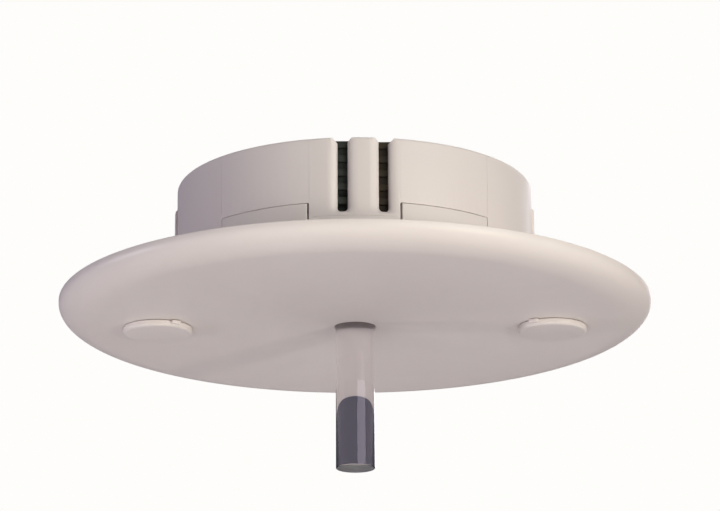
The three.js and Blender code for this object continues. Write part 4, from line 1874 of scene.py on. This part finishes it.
# ---------------------------------------------------------------- parts on the board
@dataclass(frozen=True)
class Terminals:
    """Four screw terminals in one moulded block, with a plated clamp in each entry."""

    poles: int = 4
    pitch: float = 6.4
    entry: float = 3.4
    entry_lift: float = 1.0
    entry_depth: float = 6.0
    well: float = 2.3
    well_depth: float = 4.5
    groove: float = 0.7
    chamfer: float = 1.4
    clamp_wall: float = 0.45
    clamp_gap: float = 0.1
    clamp_inset: float = 0.8
    rounding: float = 0.2
    slot_width: float = 0.7
    slot_depth: float = 0.8

    def middles(self) -> list[float]:
        """The X of each pole's middle."""
        middle = Extent.of("terminal_block").middle.x
        return [middle + (pole - (self.poles - 1) / 2) * self.pitch for pole in range(self.poles)]

    def leads(self) -> list[Point2]:
        """Where the poles' pins go through the board.

        Returns:
            The leads' places.
        """
        y = Extent.of("terminal_block").middle.y
        return [(x, y) for x in self.middles()]

    def block(self, palette: Palette) -> Piece:
        """Makes the moulded block, with entries, wells and grooves between its poles.

        Args:
            palette: the finishes.

        Returns:
            The piece.
        """
        extent = Extent.of("terminal_block")
        front = extent.low.y
        top = extent.high.z
        outline = [
            (front, extent.low.z, CRISP),
            (extent.high.y, extent.low.z, CRISP),
            (extent.high.y, top, EASED),
            (front + self.chamfer, top, EASED),
            (front, top - 2.0 * self.chamfer, EASED),
        ]
        shape = prism(rounded(outline), extent.low.x, extent.high.x)
        bmesh.ops.transform(shape, matrix=SIDEWAYS, verts=shape.verts)
        softened(shape, self.rounding, 2, 60.0)
        entry_low = extent.low.z + self.entry_lift
        half = self.entry / 2
        tools = []
        for x in self.middles():
            low = (x - half, front - OVERSHOOT, entry_low)
            high = (x + half, front + self.entry_depth, entry_low + self.entry)
            tools.append((Trim.CUT, block(low, high)))
            well = drum(self.well, top - self.well_depth, top + OVERSHOOT, (x, extent.middle.y))
            tools.append((Trim.CUT, well))
        for x in self.middles()[1:]:
            middle = x - self.pitch / 2
            low = (middle - self.groove / 2, front - OVERSHOOT, extent.low.z - OVERSHOOT)
            high = (middle + self.groove / 2, front + self.groove, top + OVERSHOOT)
            tools.append((Trim.CUT, block(low, high)))
        shape = trimmed(shape, tools)
        return finished(
            shape, "terminal_moulding", Body.PLATE, [palette.terminal], ["terminal_block"]
        )

    def clamps(self, palette: Palette) -> Piece:
        """Makes the plated cages that grip the wires.

        Args:
            palette: the finishes.

        Returns:
            One piece with all the cages.
        """
        extent = Extent.of("terminal_block")
        front = extent.low.y + self.clamp_inset
        back = extent.low.y + self.entry_depth - self.clamp_gap
        half = self.entry / 2 - self.clamp_gap
        low_z = extent.low.z + self.entry_lift + self.clamp_gap
        cages = []
        for x in self.middles():
            cage = block((x - half, front, low_z), (x + half, back, low_z + 2.0 * half), EASED)
            inner = half - self.clamp_wall
            middle = low_z + half
            low = (x - inner, front - OVERSHOOT, middle - inner)
            mouth = block(low, (x + inner, back + OVERSHOOT, middle + inner), CRISP)
            cages.append(trimmed(cage, [(Trim.CUT, mouth)]))
        return finished(gathered(cages), "terminal_clamps", Body.PLATE, [palette.zinc])

    def screw(self, number: int, palette: Palette) -> Piece:
        """Makes a slotted terminal screw.

        Args:
            number: which pole, from 1.
            palette: the finishes.

        Returns:
            The piece.
        """
        name = f"terminal_screw_{number}"
        extent = Extent.of(name)
        radius = extent.size.y / 2
        head = drum(radius, extent.low.z, extent.high.z, rounding=0.3)
        half = self.slot_width / 2
        low = (-radius - OVERSHOOT, -half, extent.high.z - self.slot_depth)
        slot = block(low, (radius + OVERSHOOT, half, extent.high.z + OVERSHOOT))
        shape = moved(trimmed(head, [(Trim.CUT, slot)]), extent.over())
        body = Body[f"TERMINAL_{number}"]
        return finished(shape, f"{name}_head", body, [palette.zinc], [name])

    def build(self, palette: Palette) -> list[Piece]:
        """Makes and dresses the terminals.

        Args:
            palette: the finishes.

        Returns:
            The pieces.
        """
        screws = [self.screw(number, palette) for number in range(1, self.poles + 1)]
        return [self.block(palette), self.clamps(palette), *screws]


@dataclass(frozen=True)
class Controller:
    """The controller chip: a drafted body with a first-pin dimple, and its bent pins."""

    pins: int = 8
    pitch: float = 1.27
    pin_width: float = 0.45
    pin_thickness: float = 0.21
    pin_reach: float = 1.1
    standoff: float = 0.2
    draft: float = 0.25
    dimple: float = 0.6
    bevel: float = 0.1

    def body(self, palette: Palette) -> Piece:
        """Makes the body, widest where its two mould halves meet.

        Args:
            palette: the finishes.

        Returns:
            The piece.
        """
        extent = Extent.of("microcontroller")
        half = extent.size.x / 2
        deep = extent.size.y / 2 - self.pin_reach
        low = extent.low.z + self.standoff
        high = extent.high.z
        shape = bmesh.new()
        bmesh.ops.create_grid(shape, x_segments=1, y_segments=1, size=1.0)
        bmesh.ops.scale(shape, verts=shape.verts, vec=(half - self.draft, deep - self.draft, 1.0))
        bmesh.ops.translate(shape, verts=shape.verts, vec=(0.0, 0.0, low))
        wider = (half / (half - self.draft), deep / (deep - self.draft), 1.0)
        narrower = tuple(1.0 / growth for growth in wider)
        ends = shape.faces[:]
        for growth in (wider, narrower):
            ends = extended(shape, ends, (0.0, 0.0, (high - low) / 2))
            bmesh.ops.scale(shape, verts=ends[0].verts[:], vec=growth)
        welded(shape)
        softened(shape, self.bevel, 2, 50.0)
        mark = drum(self.dimple, high - 0.12, high + OVERSHOOT, (-half + 1.5, -deep + 1.5))
        shape = moved(trimmed(shape, [(Trim.CUT, mark)]), extent.over())
        return finished(
            shape, "controller_body", Body.PLATE, [palette.chip], ["microcontroller"]
        )

    def legs(self, palette: Palette) -> Piece:
        """Makes the bent pins on both sides.

        Args:
            palette: the finishes.

        Returns:
            One piece with all the pins.
        """
        extent = Extent.of("microcontroller")
        far = extent.size.y / 2
        near = far - self.pin_reach - 0.2
        knee = far - 0.45
        foot = extent.low.z
        arm = foot + self.standoff + (extent.size.z - self.standoff) / 2
        thick = self.pin_thickness
        outline = [
            (near, arm, 0.0),
            (knee - thick, arm, 0.15),
            (knee - thick, foot, CRISP),
            (far, foot, 0.0),
            (far, foot + thick, 0.0),
            (knee, foot + thick, KEEN),
            (knee, arm + thick, 0.25),
            (near, arm + thick, 0.0),
        ]
        legs = []
        for number in range(self.pins):
            x = (number - (self.pins - 1) / 2) * self.pitch
            for flip in (0.0, 180.0):
                leg = prism(rounded(outline), -self.pin_width / 2, self.pin_width / 2)
                turned_about(turned_about(leg, 90.0, "X"), 90.0)
                legs.append(moved(turned_about(leg, flip), (extent.middle.x + x, extent.middle.y, 0.0)))
        return finished(gathered(legs), "controller_pins", Body.PLATE, [palette.solder])

    def build(self, palette: Palette) -> list[Piece]:
        """Makes and dresses the chip.

        Args:
            palette: the finishes.

        Returns:
            The pieces.
        """
        return [self.body(palette), self.legs(palette)]


@dataclass(frozen=True)
class Capacitor:
    """An electrolytic capacitor: a shrunk sleeve with a crimp, a pale stripe and a scored metal top."""

    number: int
    rounding: float = 0.5
    waist: float = 1.9
    waist_depth: float = 0.5
    lip: float = 0.7
    sink: float = 0.25
    stripe_degrees: float = 60.0
    score_width: float = 0.35
    score_depth: float = 0.12
    lead_spread: float = 0.45

    @property
    def extent(self) -> Extent:
        """The box of its CAD node."""
        return Extent.of(f"capacitor_{self.number}")

    def leads(self) -> list[Point2]:
        """Where its two leads go through the board.

        Returns:
            The leads' places.
        """
        middle = self.extent.middle
        reach = self.lead_spread * self.extent.size.y / 2
        return [(middle.x, middle.y - reach), (middle.x, middle.y + reach)]

    def build(self, palette: Palette) -> Piece:
        """Makes and dresses the capacitor.

        Args:
            palette: the finishes.

        Returns:
            The piece.
        """
        extent = self.extent
        radius = extent.size.y / 2
        low, high = extent.low.z, extent.high.z
        waist = low + self.waist
        corners = [
            (0.0, low, 0.0),
            (radius, low, self.rounding),
            (radius, waist - self.waist_depth, EASED),
            (radius - self.waist_depth, waist, EASED),
            (radius, waist + self.waist_depth, EASED),
            (radius, high, self.rounding),
            (radius - self.lip, high, KEEN),
            (radius - self.lip, high - self.sink, 0.0),
            (0.0, high - self.sink, 0.0),
        ]
        shape = lathed(corners, MEDIUM_STEPS)
        reach = radius - 1.6 * self.lip
        half = self.score_width / 2
        floor = high - self.sink - self.score_depth
        scores = [
            block((-reach, -half, floor), (reach, half, high)),
            block((-half, -reach, floor), (half, reach, high)),
        ]
        shape = trimmed(shape, [(Trim.CUT, score) for score in scores])
        limit = math.cos(math.radians(self.stripe_degrees / 2))
        for face in shape.faces:
            middle = face.calc_center_median()
            across = middle.to_2d()
            stripe = middle.x > across.length * limit
            if across.length < radius - self.lip and middle.z > waist:
                face.material_index = 2
            elif across.length > radius - self.lip and middle.z > low + 0.3 and stripe:
                face.material_index = 1
        moved(shape, extent.over())
        name = f"capacitor_{self.number}"
        finishes = [palette.sleeve, palette.stripe, palette.can_top]
        return finished(shape, f"{name}_can", Body.PLATE, finishes, [name])


@dataclass(frozen=True)
class Resistor:
    """An axial resistor: a dipped dog-bone body with colour bands, on two bent leads."""

    number: int
    waist: float = 0.95
    bulge: float = 1.3
    rounding: float = 0.3
    band_edges: tuple[float, ...] = (-2.8, -2.3, -1.0, -0.55, 0.05, 0.5, 2.3, 2.8)
    lead_radius: float = 0.3
    lead_run: float = 0.4
    lead_bend: float = 0.6
    lead_end: float = 13.2

    @property
    def extent(self) -> Extent:
        """The box of its CAD node."""
        return Extent.of(f"resistor_{self.number}")

    def leads(self) -> list[Point2]:
        """Where its two leads go through the board.

        Returns:
            The leads' places.
        """
        middle = self.extent.middle
        reach = self.extent.size.x / 2 + self.lead_run + self.lead_bend
        return [(middle.x - reach, middle.y), (middle.x + reach, middle.y)]

    def body(self, palette: Palette) -> Piece:
        """Makes the dipped body with its bands.

        Args:
            palette: the finishes.

        Returns:
            The piece.
        """
        extent = self.extent
        half = extent.size.x / 2
        radius = extent.size.z / 2
        shoulder = half - self.bulge
        corners = [
            (0.0, -half, 0.0),
            (radius, -half, self.rounding),
            *[(radius, edge, 0.0) for edge in self.band_edges if edge < -shoulder],
            (radius, -shoulder, self.rounding),
            (self.waist, -shoulder + 0.5, CRISP),
            *[(self.waist, edge, 0.0) for edge in self.band_edges if abs(edge) < shoulder],
            (self.waist, shoulder - 0.5, CRISP),
            (radius, shoulder, self.rounding),
            *[(radius, edge, 0.0) for edge in self.band_edges if edge > shoulder],
            (radius, half, self.rounding),
            (0.0, half, 0.0),
        ]
        shape = lathed(corners, 32)
        bands = list(zip(self.band_edges[::2], self.band_edges[1::2]))
        for face in shape.faces:
            along = face.calc_center_median().z
            for index, (start, end) in enumerate(bands):
                if start < along < end:
                    face.material_index = 1 + index % 2
        turned_about(shape, 90.0, "Y")
        moved(shape, extent.middle)
        name = f"resistor_{self.number}"
        finishes = [palette.lacquer, palette.band_dark, palette.band_warm]
        return finished(shape, f"{name}_body", Body.PLATE, finishes, [name])

    def wires(self) -> list[Mesh]:
        """The two leads, each straight out, bent, and down through the board.

        Returns:
            Closed meshes.
        """
        extent = self.extent
        half = extent.size.x / 2
        wires = []
        for flip in (0.0, 180.0):
            bm = bmesh.new()
            bmesh.ops.create_circle(bm, cap_ends=True, segments=12, radius=self.lead_radius)
            turned_about(bm, 90.0, "Y")
            moved(bm, (half - 0.3, 0.0, 0.0))
            end = extended(bm, bm.faces[:], (self.lead_run + 0.3, 0.0, 0.0))
            centre = (half + self.lead_run, 0.0, -self.lead_bend)
            end = swung(bm, end, centre, (0, 1, 0), 90.0, 6)
            extended(bm, end, (0.0, 0.0, self.lead_end - extent.middle.z + self.lead_bend))
            wires.append(moved(turned_about(welded(bm), flip), extent.middle))
        return wires


@dataclass(frozen=True)
class Thermistor:
    """A dipped bead on two tinned wires, hanging from the board or standing on it."""

    node_name: str
    hangs: bool
    bead: float = 1.4
    spread: float = 1.7
    wire: float = 0.3
    run_up: float = 2.2
    flatness: float = 0.85

    def leads(self) -> list[Point2]:
        """Where its two wires go through the board.

        Returns:
            The leads' places.
        """
        middle = Extent.of(self.node_name).middle
        return [(middle.x + side * self.spread / 2, middle.y) for side in (-1, 1)]

    def wires(self, board: Extent) -> list[Mesh]:
        """The two wires, from inside the bead through the board.

        Args:
            board: the board's box.

        Returns:
            Closed meshes.
        """
        extent = Extent.of(self.node_name)
        if self.hangs:
            low, high = extent.low.z + self.bead, board.high.z + 0.6
        else:
            low, high = board.low.z - 0.8, extent.high.z - self.bead
        return [drum(self.wire, low, high, place, 0.1, 16) for place in self.leads()]

    def build(self, palette: Palette) -> Piece:
        """Makes the bead, with the dip that has run up its wires.

        Args:
            palette: the finishes.

        Returns:
            The piece.
        """
        extent = Extent.of(self.node_name)
        ball = spun(arc((0.0, 0.0), (self.bead, self.bead), -90.0, 90.0, 24), MEDIUM_STEPS // 2, closed=False)
        bmesh.ops.scale(ball, verts=ball.verts, vec=(1.0, self.flatness, 1.0))
        top = self.run_up
        run = [(0.0, 0.6, 0.0), (0.55, 0.6, 0.0), (self.wire + 0.06, top, KEEN), (0.0, top, 0.0)]
        runs = [
            moved(lathed(run, 24), (side * self.spread / 2, 0.0, 0.0))
            for side in (-1, 1)
        ]
        shape = trimmed(ball, [(Trim.JOIN, gathered(runs))])
        middle_z = extent.low.z + self.bead
        if not self.hangs:
            turned_about(shape, 180.0, "X")
            middle_z = extent.high.z - self.bead
        moved(shape, extent.over(middle_z))
        return finished(
            shape, f"{self.node_name}_bead", Body.PLATE, [palette.bead], [self.node_name]
        )


@dataclass(frozen=True)
class Indicator:
    """The red lamp under the board, whose dome faces the light guide."""

    flange_height: float = 1.0
    flange_reach: float = 0.45
    flat: float = 0.45
    spread: float = 2.54

    def leads(self) -> list[Point2]:
        """Where its two wires go through the board.

        Returns:
            The leads' places.
        """
        return [(-self.spread / 2, 0.0), (self.spread / 2, 0.0)]

    def build(self, palette: Palette) -> Piece:
        """Makes and dresses the lamp.

        Args:
            palette: the finishes.

        Returns:
            The piece.
        """
        extent = Extent.of("indicator_led")
        flange = extent.size.y / 2
        radius = flange - self.flange_reach
        top = extent.high.z
        dome = arc((0.0, extent.low.z + radius), (radius, radius), -90.0, 0.0, 16)
        ledge = top - self.flange_height
        rest = [(radius, ledge, KEEN), (flange, ledge, 0.15), (flange, top, 0.15), (0.0, top, 0.0)]
        outline = dome + rounded([(*dome[-1], 0.0), *rest], closed=False)[1:]
        shape = spun(outline, MEDIUM_STEPS, closed=False)
        low = (flange - self.flat, -flange, ledge - 0.1)
        flat = block(low, (flange + OVERSHOOT, flange, top + OVERSHOOT))
        shape = trimmed(shape, [(Trim.CUT, flat)])
        return finished(shape, "indicator_lens", Body.PLATE, [palette.lamp], ["indicator_led"])


@dataclass(frozen=True)
class PowerParts:
    """The bridge rectifier and the alarm thyristor, in moulded bodies."""

    chamfer: float = 0.5
    rounding: float = 0.15
    polarity_mark: float = 1.0
    lead_pitch: float = 1.27
    bridge_pitch: float = 5.0

    def leads(self) -> list[Point2]:
        """Where their leads go through the board.

        Returns:
            The leads' places.
        """
        bridge = Extent.of("bridge_rectifier").middle
        thyristor = Extent.of("alarm_thyristor").middle
        half = self.bridge_pitch / 2
        places = [(bridge.x + a * half, bridge.y + b * half * 0.8) for a in (-1, 1) for b in (-1, 1)]
        return places + [(thyristor.x + step * self.lead_pitch, thyristor.y) for step in (-1, 0, 1)]

    def bridge(self, palette: Palette) -> Piece:
        """Makes the rectifier: a block whose top edges are cut and whose top is marked by a dimple.

        Args:
            palette: the finishes.

        Returns:
            The piece.
        """
        extent = Extent.of("bridge_rectifier")
        half = extent.size.x / 2
        outline = [
            (-half, extent.low.z, KEEN),
            (half, extent.low.z, KEEN),
            (half, extent.high.z - self.chamfer, KEEN),
            (half - self.chamfer, extent.high.z, KEEN),
            (self.chamfer - half, extent.high.z, KEEN),
            (-half, extent.high.z - self.chamfer, KEEN),
        ]
        deep = extent.size.y / 2
        shape = turned_about(prism(rounded(outline), -deep, deep), 90.0, "X")
        softened(shape, self.rounding, 2, 60.0)
        foot = extent.high.z - 0.15
        mark = drum(self.polarity_mark / 2, foot, extent.high.z + OVERSHOOT, (1.5 - half, 1.5 - deep))
        shape = moved(trimmed(shape, [(Trim.CUT, mark)]), extent.over())
        return finished(
            shape, "bridge_rectifier_body", Body.PLATE, [palette.chip], ["bridge_rectifier"]
        )

    def thyristor(self, palette: Palette) -> Piece:
        """Makes the thyristor: a round-backed body with one flat face.

        Args:
            palette: the finishes.

        Returns:
            The piece.
        """
        extent = Extent.of("alarm_thyristor")
        half, deep = extent.size.x / 2, extent.size.y / 2
        back = arc((0.0, -deep + half * 0.62), (half, 2.0 * deep - half * 0.62), 0.0, 180.0, 24)
        outline = [(-half, -deep), (half, -deep), *back]
        shape = softened(prism(outline, extent.low.z, extent.high.z), self.rounding, 2, 50.0)
        moved(shape, extent.over())
        return finished(
            shape, "alarm_thyristor_body", Body.PLATE, [palette.chip], ["alarm_thyristor"]
        )

    def build(self, palette: Palette) -> list[Piece]:
        """Makes and dresses both parts.

        Args:
            palette: the finishes.

        Returns:
            The pieces.
        """
        return [self.bridge(palette), self.thyristor(palette)]


@dataclass
class BoardAssembly:
    """The round circuit board with its holes, solder, wires and every part on it."""

    hole: float = 0.45
    screw_hole: float = 1.4
    pad: float = 0.95
    pad_height: float = 0.04
    fillet_height: float = 0.7
    stub: float = 0.8
    wire: float = 0.3
    edge_rounding: float = 0.12
    terminals: Terminals = field(default_factory=Terminals)
    controller: Controller = field(default_factory=Controller)
    power: PowerParts = field(default_factory=PowerParts)
    indicator: Indicator = field(default_factory=Indicator)
    capacitors: tuple[Capacitor, ...] = (Capacitor(1), Capacitor(2))
    resistors: tuple[Resistor, ...] = tuple(Resistor(number) for number in range(1, 5))
    thermistors: tuple[Thermistor, ...] = (
        Thermistor("sensing_thermistor", True),
        Thermistor("reference_thermistor", False),
    )

    def straight_leads(self) -> list[Point2]:
        """The places of the leads that go straight down from a part.

        Returns:
            Their places on the board.
        """
        parts = [self.terminals, self.power, self.indicator, *self.capacitors]
        return [place for part in parts for place in part.leads()]

    def all_leads(self) -> list[Point2]:
        """The places of every lead.

        Returns:
            Their places on the board.
        """
        bent = [place for part in (*self.resistors, *self.thermistors) for place in part.leads()]
        return self.straight_leads() + bent

    def laminate(self, palette: Palette) -> Piece:
        """Makes the board with its screw holes and lead holes.

        Args:
            palette: the finishes.

        Returns:
            The piece.
        """
        extent = Extent.of("circuit_board")
        low, high = extent.low.z, extent.high.z
        disc = drum(extent.high.x, low, high, rounding=self.edge_rounding, steps=FINE_STEPS)
        under = low - OVERSHOOT
        over = high + OVERSHOOT
        cutters = [drum(self.hole, under, over, place, steps=16) for place in self.all_leads()]
        for number in range(1, 4):
            screw = Extent.of(f"board_screw_{number}").middle
            cutters.append(drum(self.screw_hole, under, over, (screw.x, screw.y)))
        shape = trimmed(disc, [(Trim.CUT, gathered(cutters))])
        for face in shape.faces:
            if abs(face.normal.z) < 0.5:
                face.material_index = 1
        finishes = [palette.board, palette.board_edge]
        return finished(shape, "board_laminate", Body.PLATE, finishes, ["circuit_board"])

    def joint(self, place: Point2, under: bool) -> Mesh:
        """A tinned pad with its fillet of solder round a lead.

        Args:
            place: the lead's place on the board.
            under: whether it is on the board's underside.

        Returns:
            A closed mesh.
        """
        extent = Extent.of("circuit_board")
        top = self.fillet_height
        curve = arc((self.pad - 0.1, top), (self.pad - 0.4, top - 0.1), 270, 180, 6)
        outline = [(0.0, 0.0), (self.pad, 0.0), (self.pad, self.pad_height), *curve, (0.0, top)]
        shape = spun(outline, 16, closed=False)
        if under:
            turned_about(shape, 180.0, "X")
        return moved(shape, (*place, extent.low.z if under else extent.high.z))

    def solder(self, palette: Palette) -> Piece:
        """Makes the joints on both of the board's faces.

        Args:
            palette: the finishes.

        Returns:
            The piece.
        """
        lamp_leads = self.indicator.leads()
        joints = [self.joint(place, True) for place in self.all_leads() if place not in lamp_leads]
        joints += [self.joint(place, False) for place in lamp_leads]
        joints += [self.joint(place, False) for place in self.thermistors[0].leads()]
        return finished(gathered(joints), "solder_joints", Body.PLATE, [palette.solder])

    def wires(self, palette: Palette) -> Piece:
        """Makes every lead.

        Args:
            palette: the finishes.

        Returns:
            The piece.
        """
        extent = Extent.of("circuit_board")
        low, high = extent.low.z - self.stub, extent.high.z + self.stub
        wires = [drum(self.wire, low, high, place, 0.1, 12) for place in self.straight_leads()]
        for resistor in self.resistors:
            wires += resistor.wires()
        for thermistor in self.thermistors:
            wires += thermistor.wires(extent)
        return finished(gathered(wires), "tinned_leads", Body.PLATE, [palette.solder])

    def build(self, palette: Palette) -> None:
        """Makes and dresses the board and everything on it.

        Args:
            palette: the finishes.
        """
        self.laminate(palette)
        self.solder(palette)
        self.wires(palette)
        self.terminals.build(palette)
        self.controller.build(palette)
        self.power.build(palette)
        self.indicator.build(palette)
        for part in (*self.capacitors, *self.thermistors):
            part.build(palette)
        for resistor in self.resistors:
            resistor.body(palette)


# ---------------------------------------------------------------- studio
@dataclass(frozen=True)
class SoftBox:
    """A soft studio light that faces the part: where it stands in metres, its size and its power."""

    name: str
    place: Point3
    size: float
    power: float
    colour: str = "#ffffff"
    sharp: bool = False

    def build(self) -> Piece:
        """Makes the light.

        Returns:
            The lamp.
        """
        data = bpy.data.lights.new(self.name, "AREA")
        data.shape = "DISK"
        data.size = self.size
        data.energy = self.power
        data.color = linear(self.colour)[:3]
        data.cycles.is_caustics_light = self.sharp
        lamp = placed(self.name, data)
        lamp.location = self.place
        aim = -Vector(self.place)
        lamp.rotation_euler = aim.to_track_quat("-Z", "Y").to_euler()
        lamp.visible_camera = False
        lamp.visible_transmission = False
        return lamp


@dataclass(frozen=True)
class Overhead:
    """The wide, even light from above and behind, which lights the floor and the back of the part."""

    strength: float = 0.62
    spread: float = 40.0
    tilt: float = -20.0
    colour: str = "#fefbf5"

    def build(self) -> Piece:
        """Makes the light.

        Returns:
            The lamp.
        """
        data = bpy.data.lights.new("overhead", "SUN")
        data.energy = self.strength
        data.angle = math.radians(self.spread)
        data.color = linear(self.colour)[:3]
        lamp = placed("overhead", data)
        lamp.rotation_euler = (math.radians(self.tilt), 0.0, 0.0)
        return lamp


@dataclass
class Studio:
    """The floor, the lights, the surroundings and the camera, which looks up at the ceiling part."""

    floor_height: float = -1.5
    floor_size: float = 12.0
    camera_place: tuple[float, float, float] = (0.0, -0.9492, -0.2672)
    camera_aim: tuple[float, float, float] = (0.0016, -0.0044, 0.0147)
    camera_roll: float = -0.0044
    lens_mm: float = 161.65
    backdrop: str = "#fefdfb"
    surroundings: str = "#595563"
    through_bar: str = "#52505a"
    lights: tuple[SoftBox, ...] = (
        SoftBox("key_right", (1.02, -1.4, 0.15), 1.6, 21.0, "#fefcef"),
        SoftBox("key_low", (0.95, -0.95, -0.42), 0.16, 3.4, "#fff6e6", sharp=True),
        SoftBox("strip_left", (-1.4, -0.4, 0.4), 0.35, 0.2, "#efe8ff"),
        SoftBox("fill_left", (-1.5, 0.0, -0.3), 0.14, 5.0, "#f4efff", sharp=True),
        SoftBox("bounce_front", (-0.3, -0.6, -0.5), 0.9, 1.6, "#fef9f3"),
        SoftBox("back_fill", (0.4, 1.7, 0.8), 1.4, 15.0, "#f8f7fb"),
    )

    def floor(self) -> Piece:
        """The plain pale floor.

        Returns:
            The floor.
        """
        bm = bmesh.new()
        bmesh.ops.create_grid(bm, x_segments=1, y_segments=1, size=self.floor_size / 2)
        bmesh.ops.translate(bm, verts=bm.verts, vec=(0.0, 0.0, self.floor_height))
        mesh = bpy.data.meshes.new("floor")
        bm.to_mesh(mesh)
        bm.free()
        mesh.materials.append(PaintedBoard("floor_board_painted").build())
        floor = placed("floor", mesh)
        return floor

    def world(self) -> None:
        """A pale backdrop for the eye, soft surroundings for light, and a dark studio through the bar."""
        world = bpy.data.worlds.new("studio")
        bpy.context.scene.world = world
        world.use_nodes = True
        tree = world.node_tree
        tree.nodes.clear()
        path = node(tree, "ShaderNodeLightPath")
        around = node(tree, "ShaderNodeBackground", {"Color": linear(self.surroundings), "Strength": 1.0})
        through = node(tree, "ShaderNodeBackground", {"Color": linear(self.through_bar), "Strength": 1.0})
        seen = node(tree, "ShaderNodeBackground", {"Color": linear(self.backdrop), "Strength": 1.0})
        inner = node(
            tree, "ShaderNodeMixShader", {}, i0=path.outputs["Is Transmission Ray"], i1=around, i2=through
        )
        outer = node(tree, "ShaderNodeMixShader", {}, i0=path.outputs["Is Camera Ray"], i1=inner, i2=seen)
        node(tree, "ShaderNodeOutputWorld", Surface=outer)

    def camera(self) -> Piece:
        """The camera, below and in front of the part.

        Returns:
            The camera.
        """
        data = bpy.data.cameras.new("camera")
        data.lens = self.lens_mm
        data.sensor_width = 36.0
        data.clip_start = 0.01
        camera = placed("camera", data)
        place = Vector(self.camera_place)
        look = (Vector(self.camera_aim) - place).to_track_quat("-Z", "Y")
        camera.location = place
        camera.rotation_euler = (look @ Quaternion((0.0, 0.0, 1.0), self.camera_roll)).to_euler()
        bpy.context.scene.camera = camera
        return camera

    def build(self) -> None:
        """Sets everything up."""
        self.camera()
        self.floor()
        self.world()
        Overhead().build()
        for light in self.lights:
            light.build()
        scene = bpy.context.scene
        scene.view_settings.view_transform = "Standard"
        scene.cycles.use_denoising = True


def main() -> None:
    """Builds the studio and then each sub-assembly in order."""
    logging.basicConfig(level=logging.INFO, format="%(name)s: %(message)s")
    Studio().build()
    palette = Palette()
    CoverPlate().build(palette)
    for side in Side:
        ScrewCap(side).build(palette)
    LightGuide().build(palette)
    Housing().build(palette)
    WiringCover().build(palette)
    CableSeal("cable_seal_left").build(palette.seal_left)
    CableSeal("cable_seal_right").build(palette.seal_right)
    Fasteners().build(palette)
    BoardAssembly().build(palette)


if __name__ == "__main__":
    main()
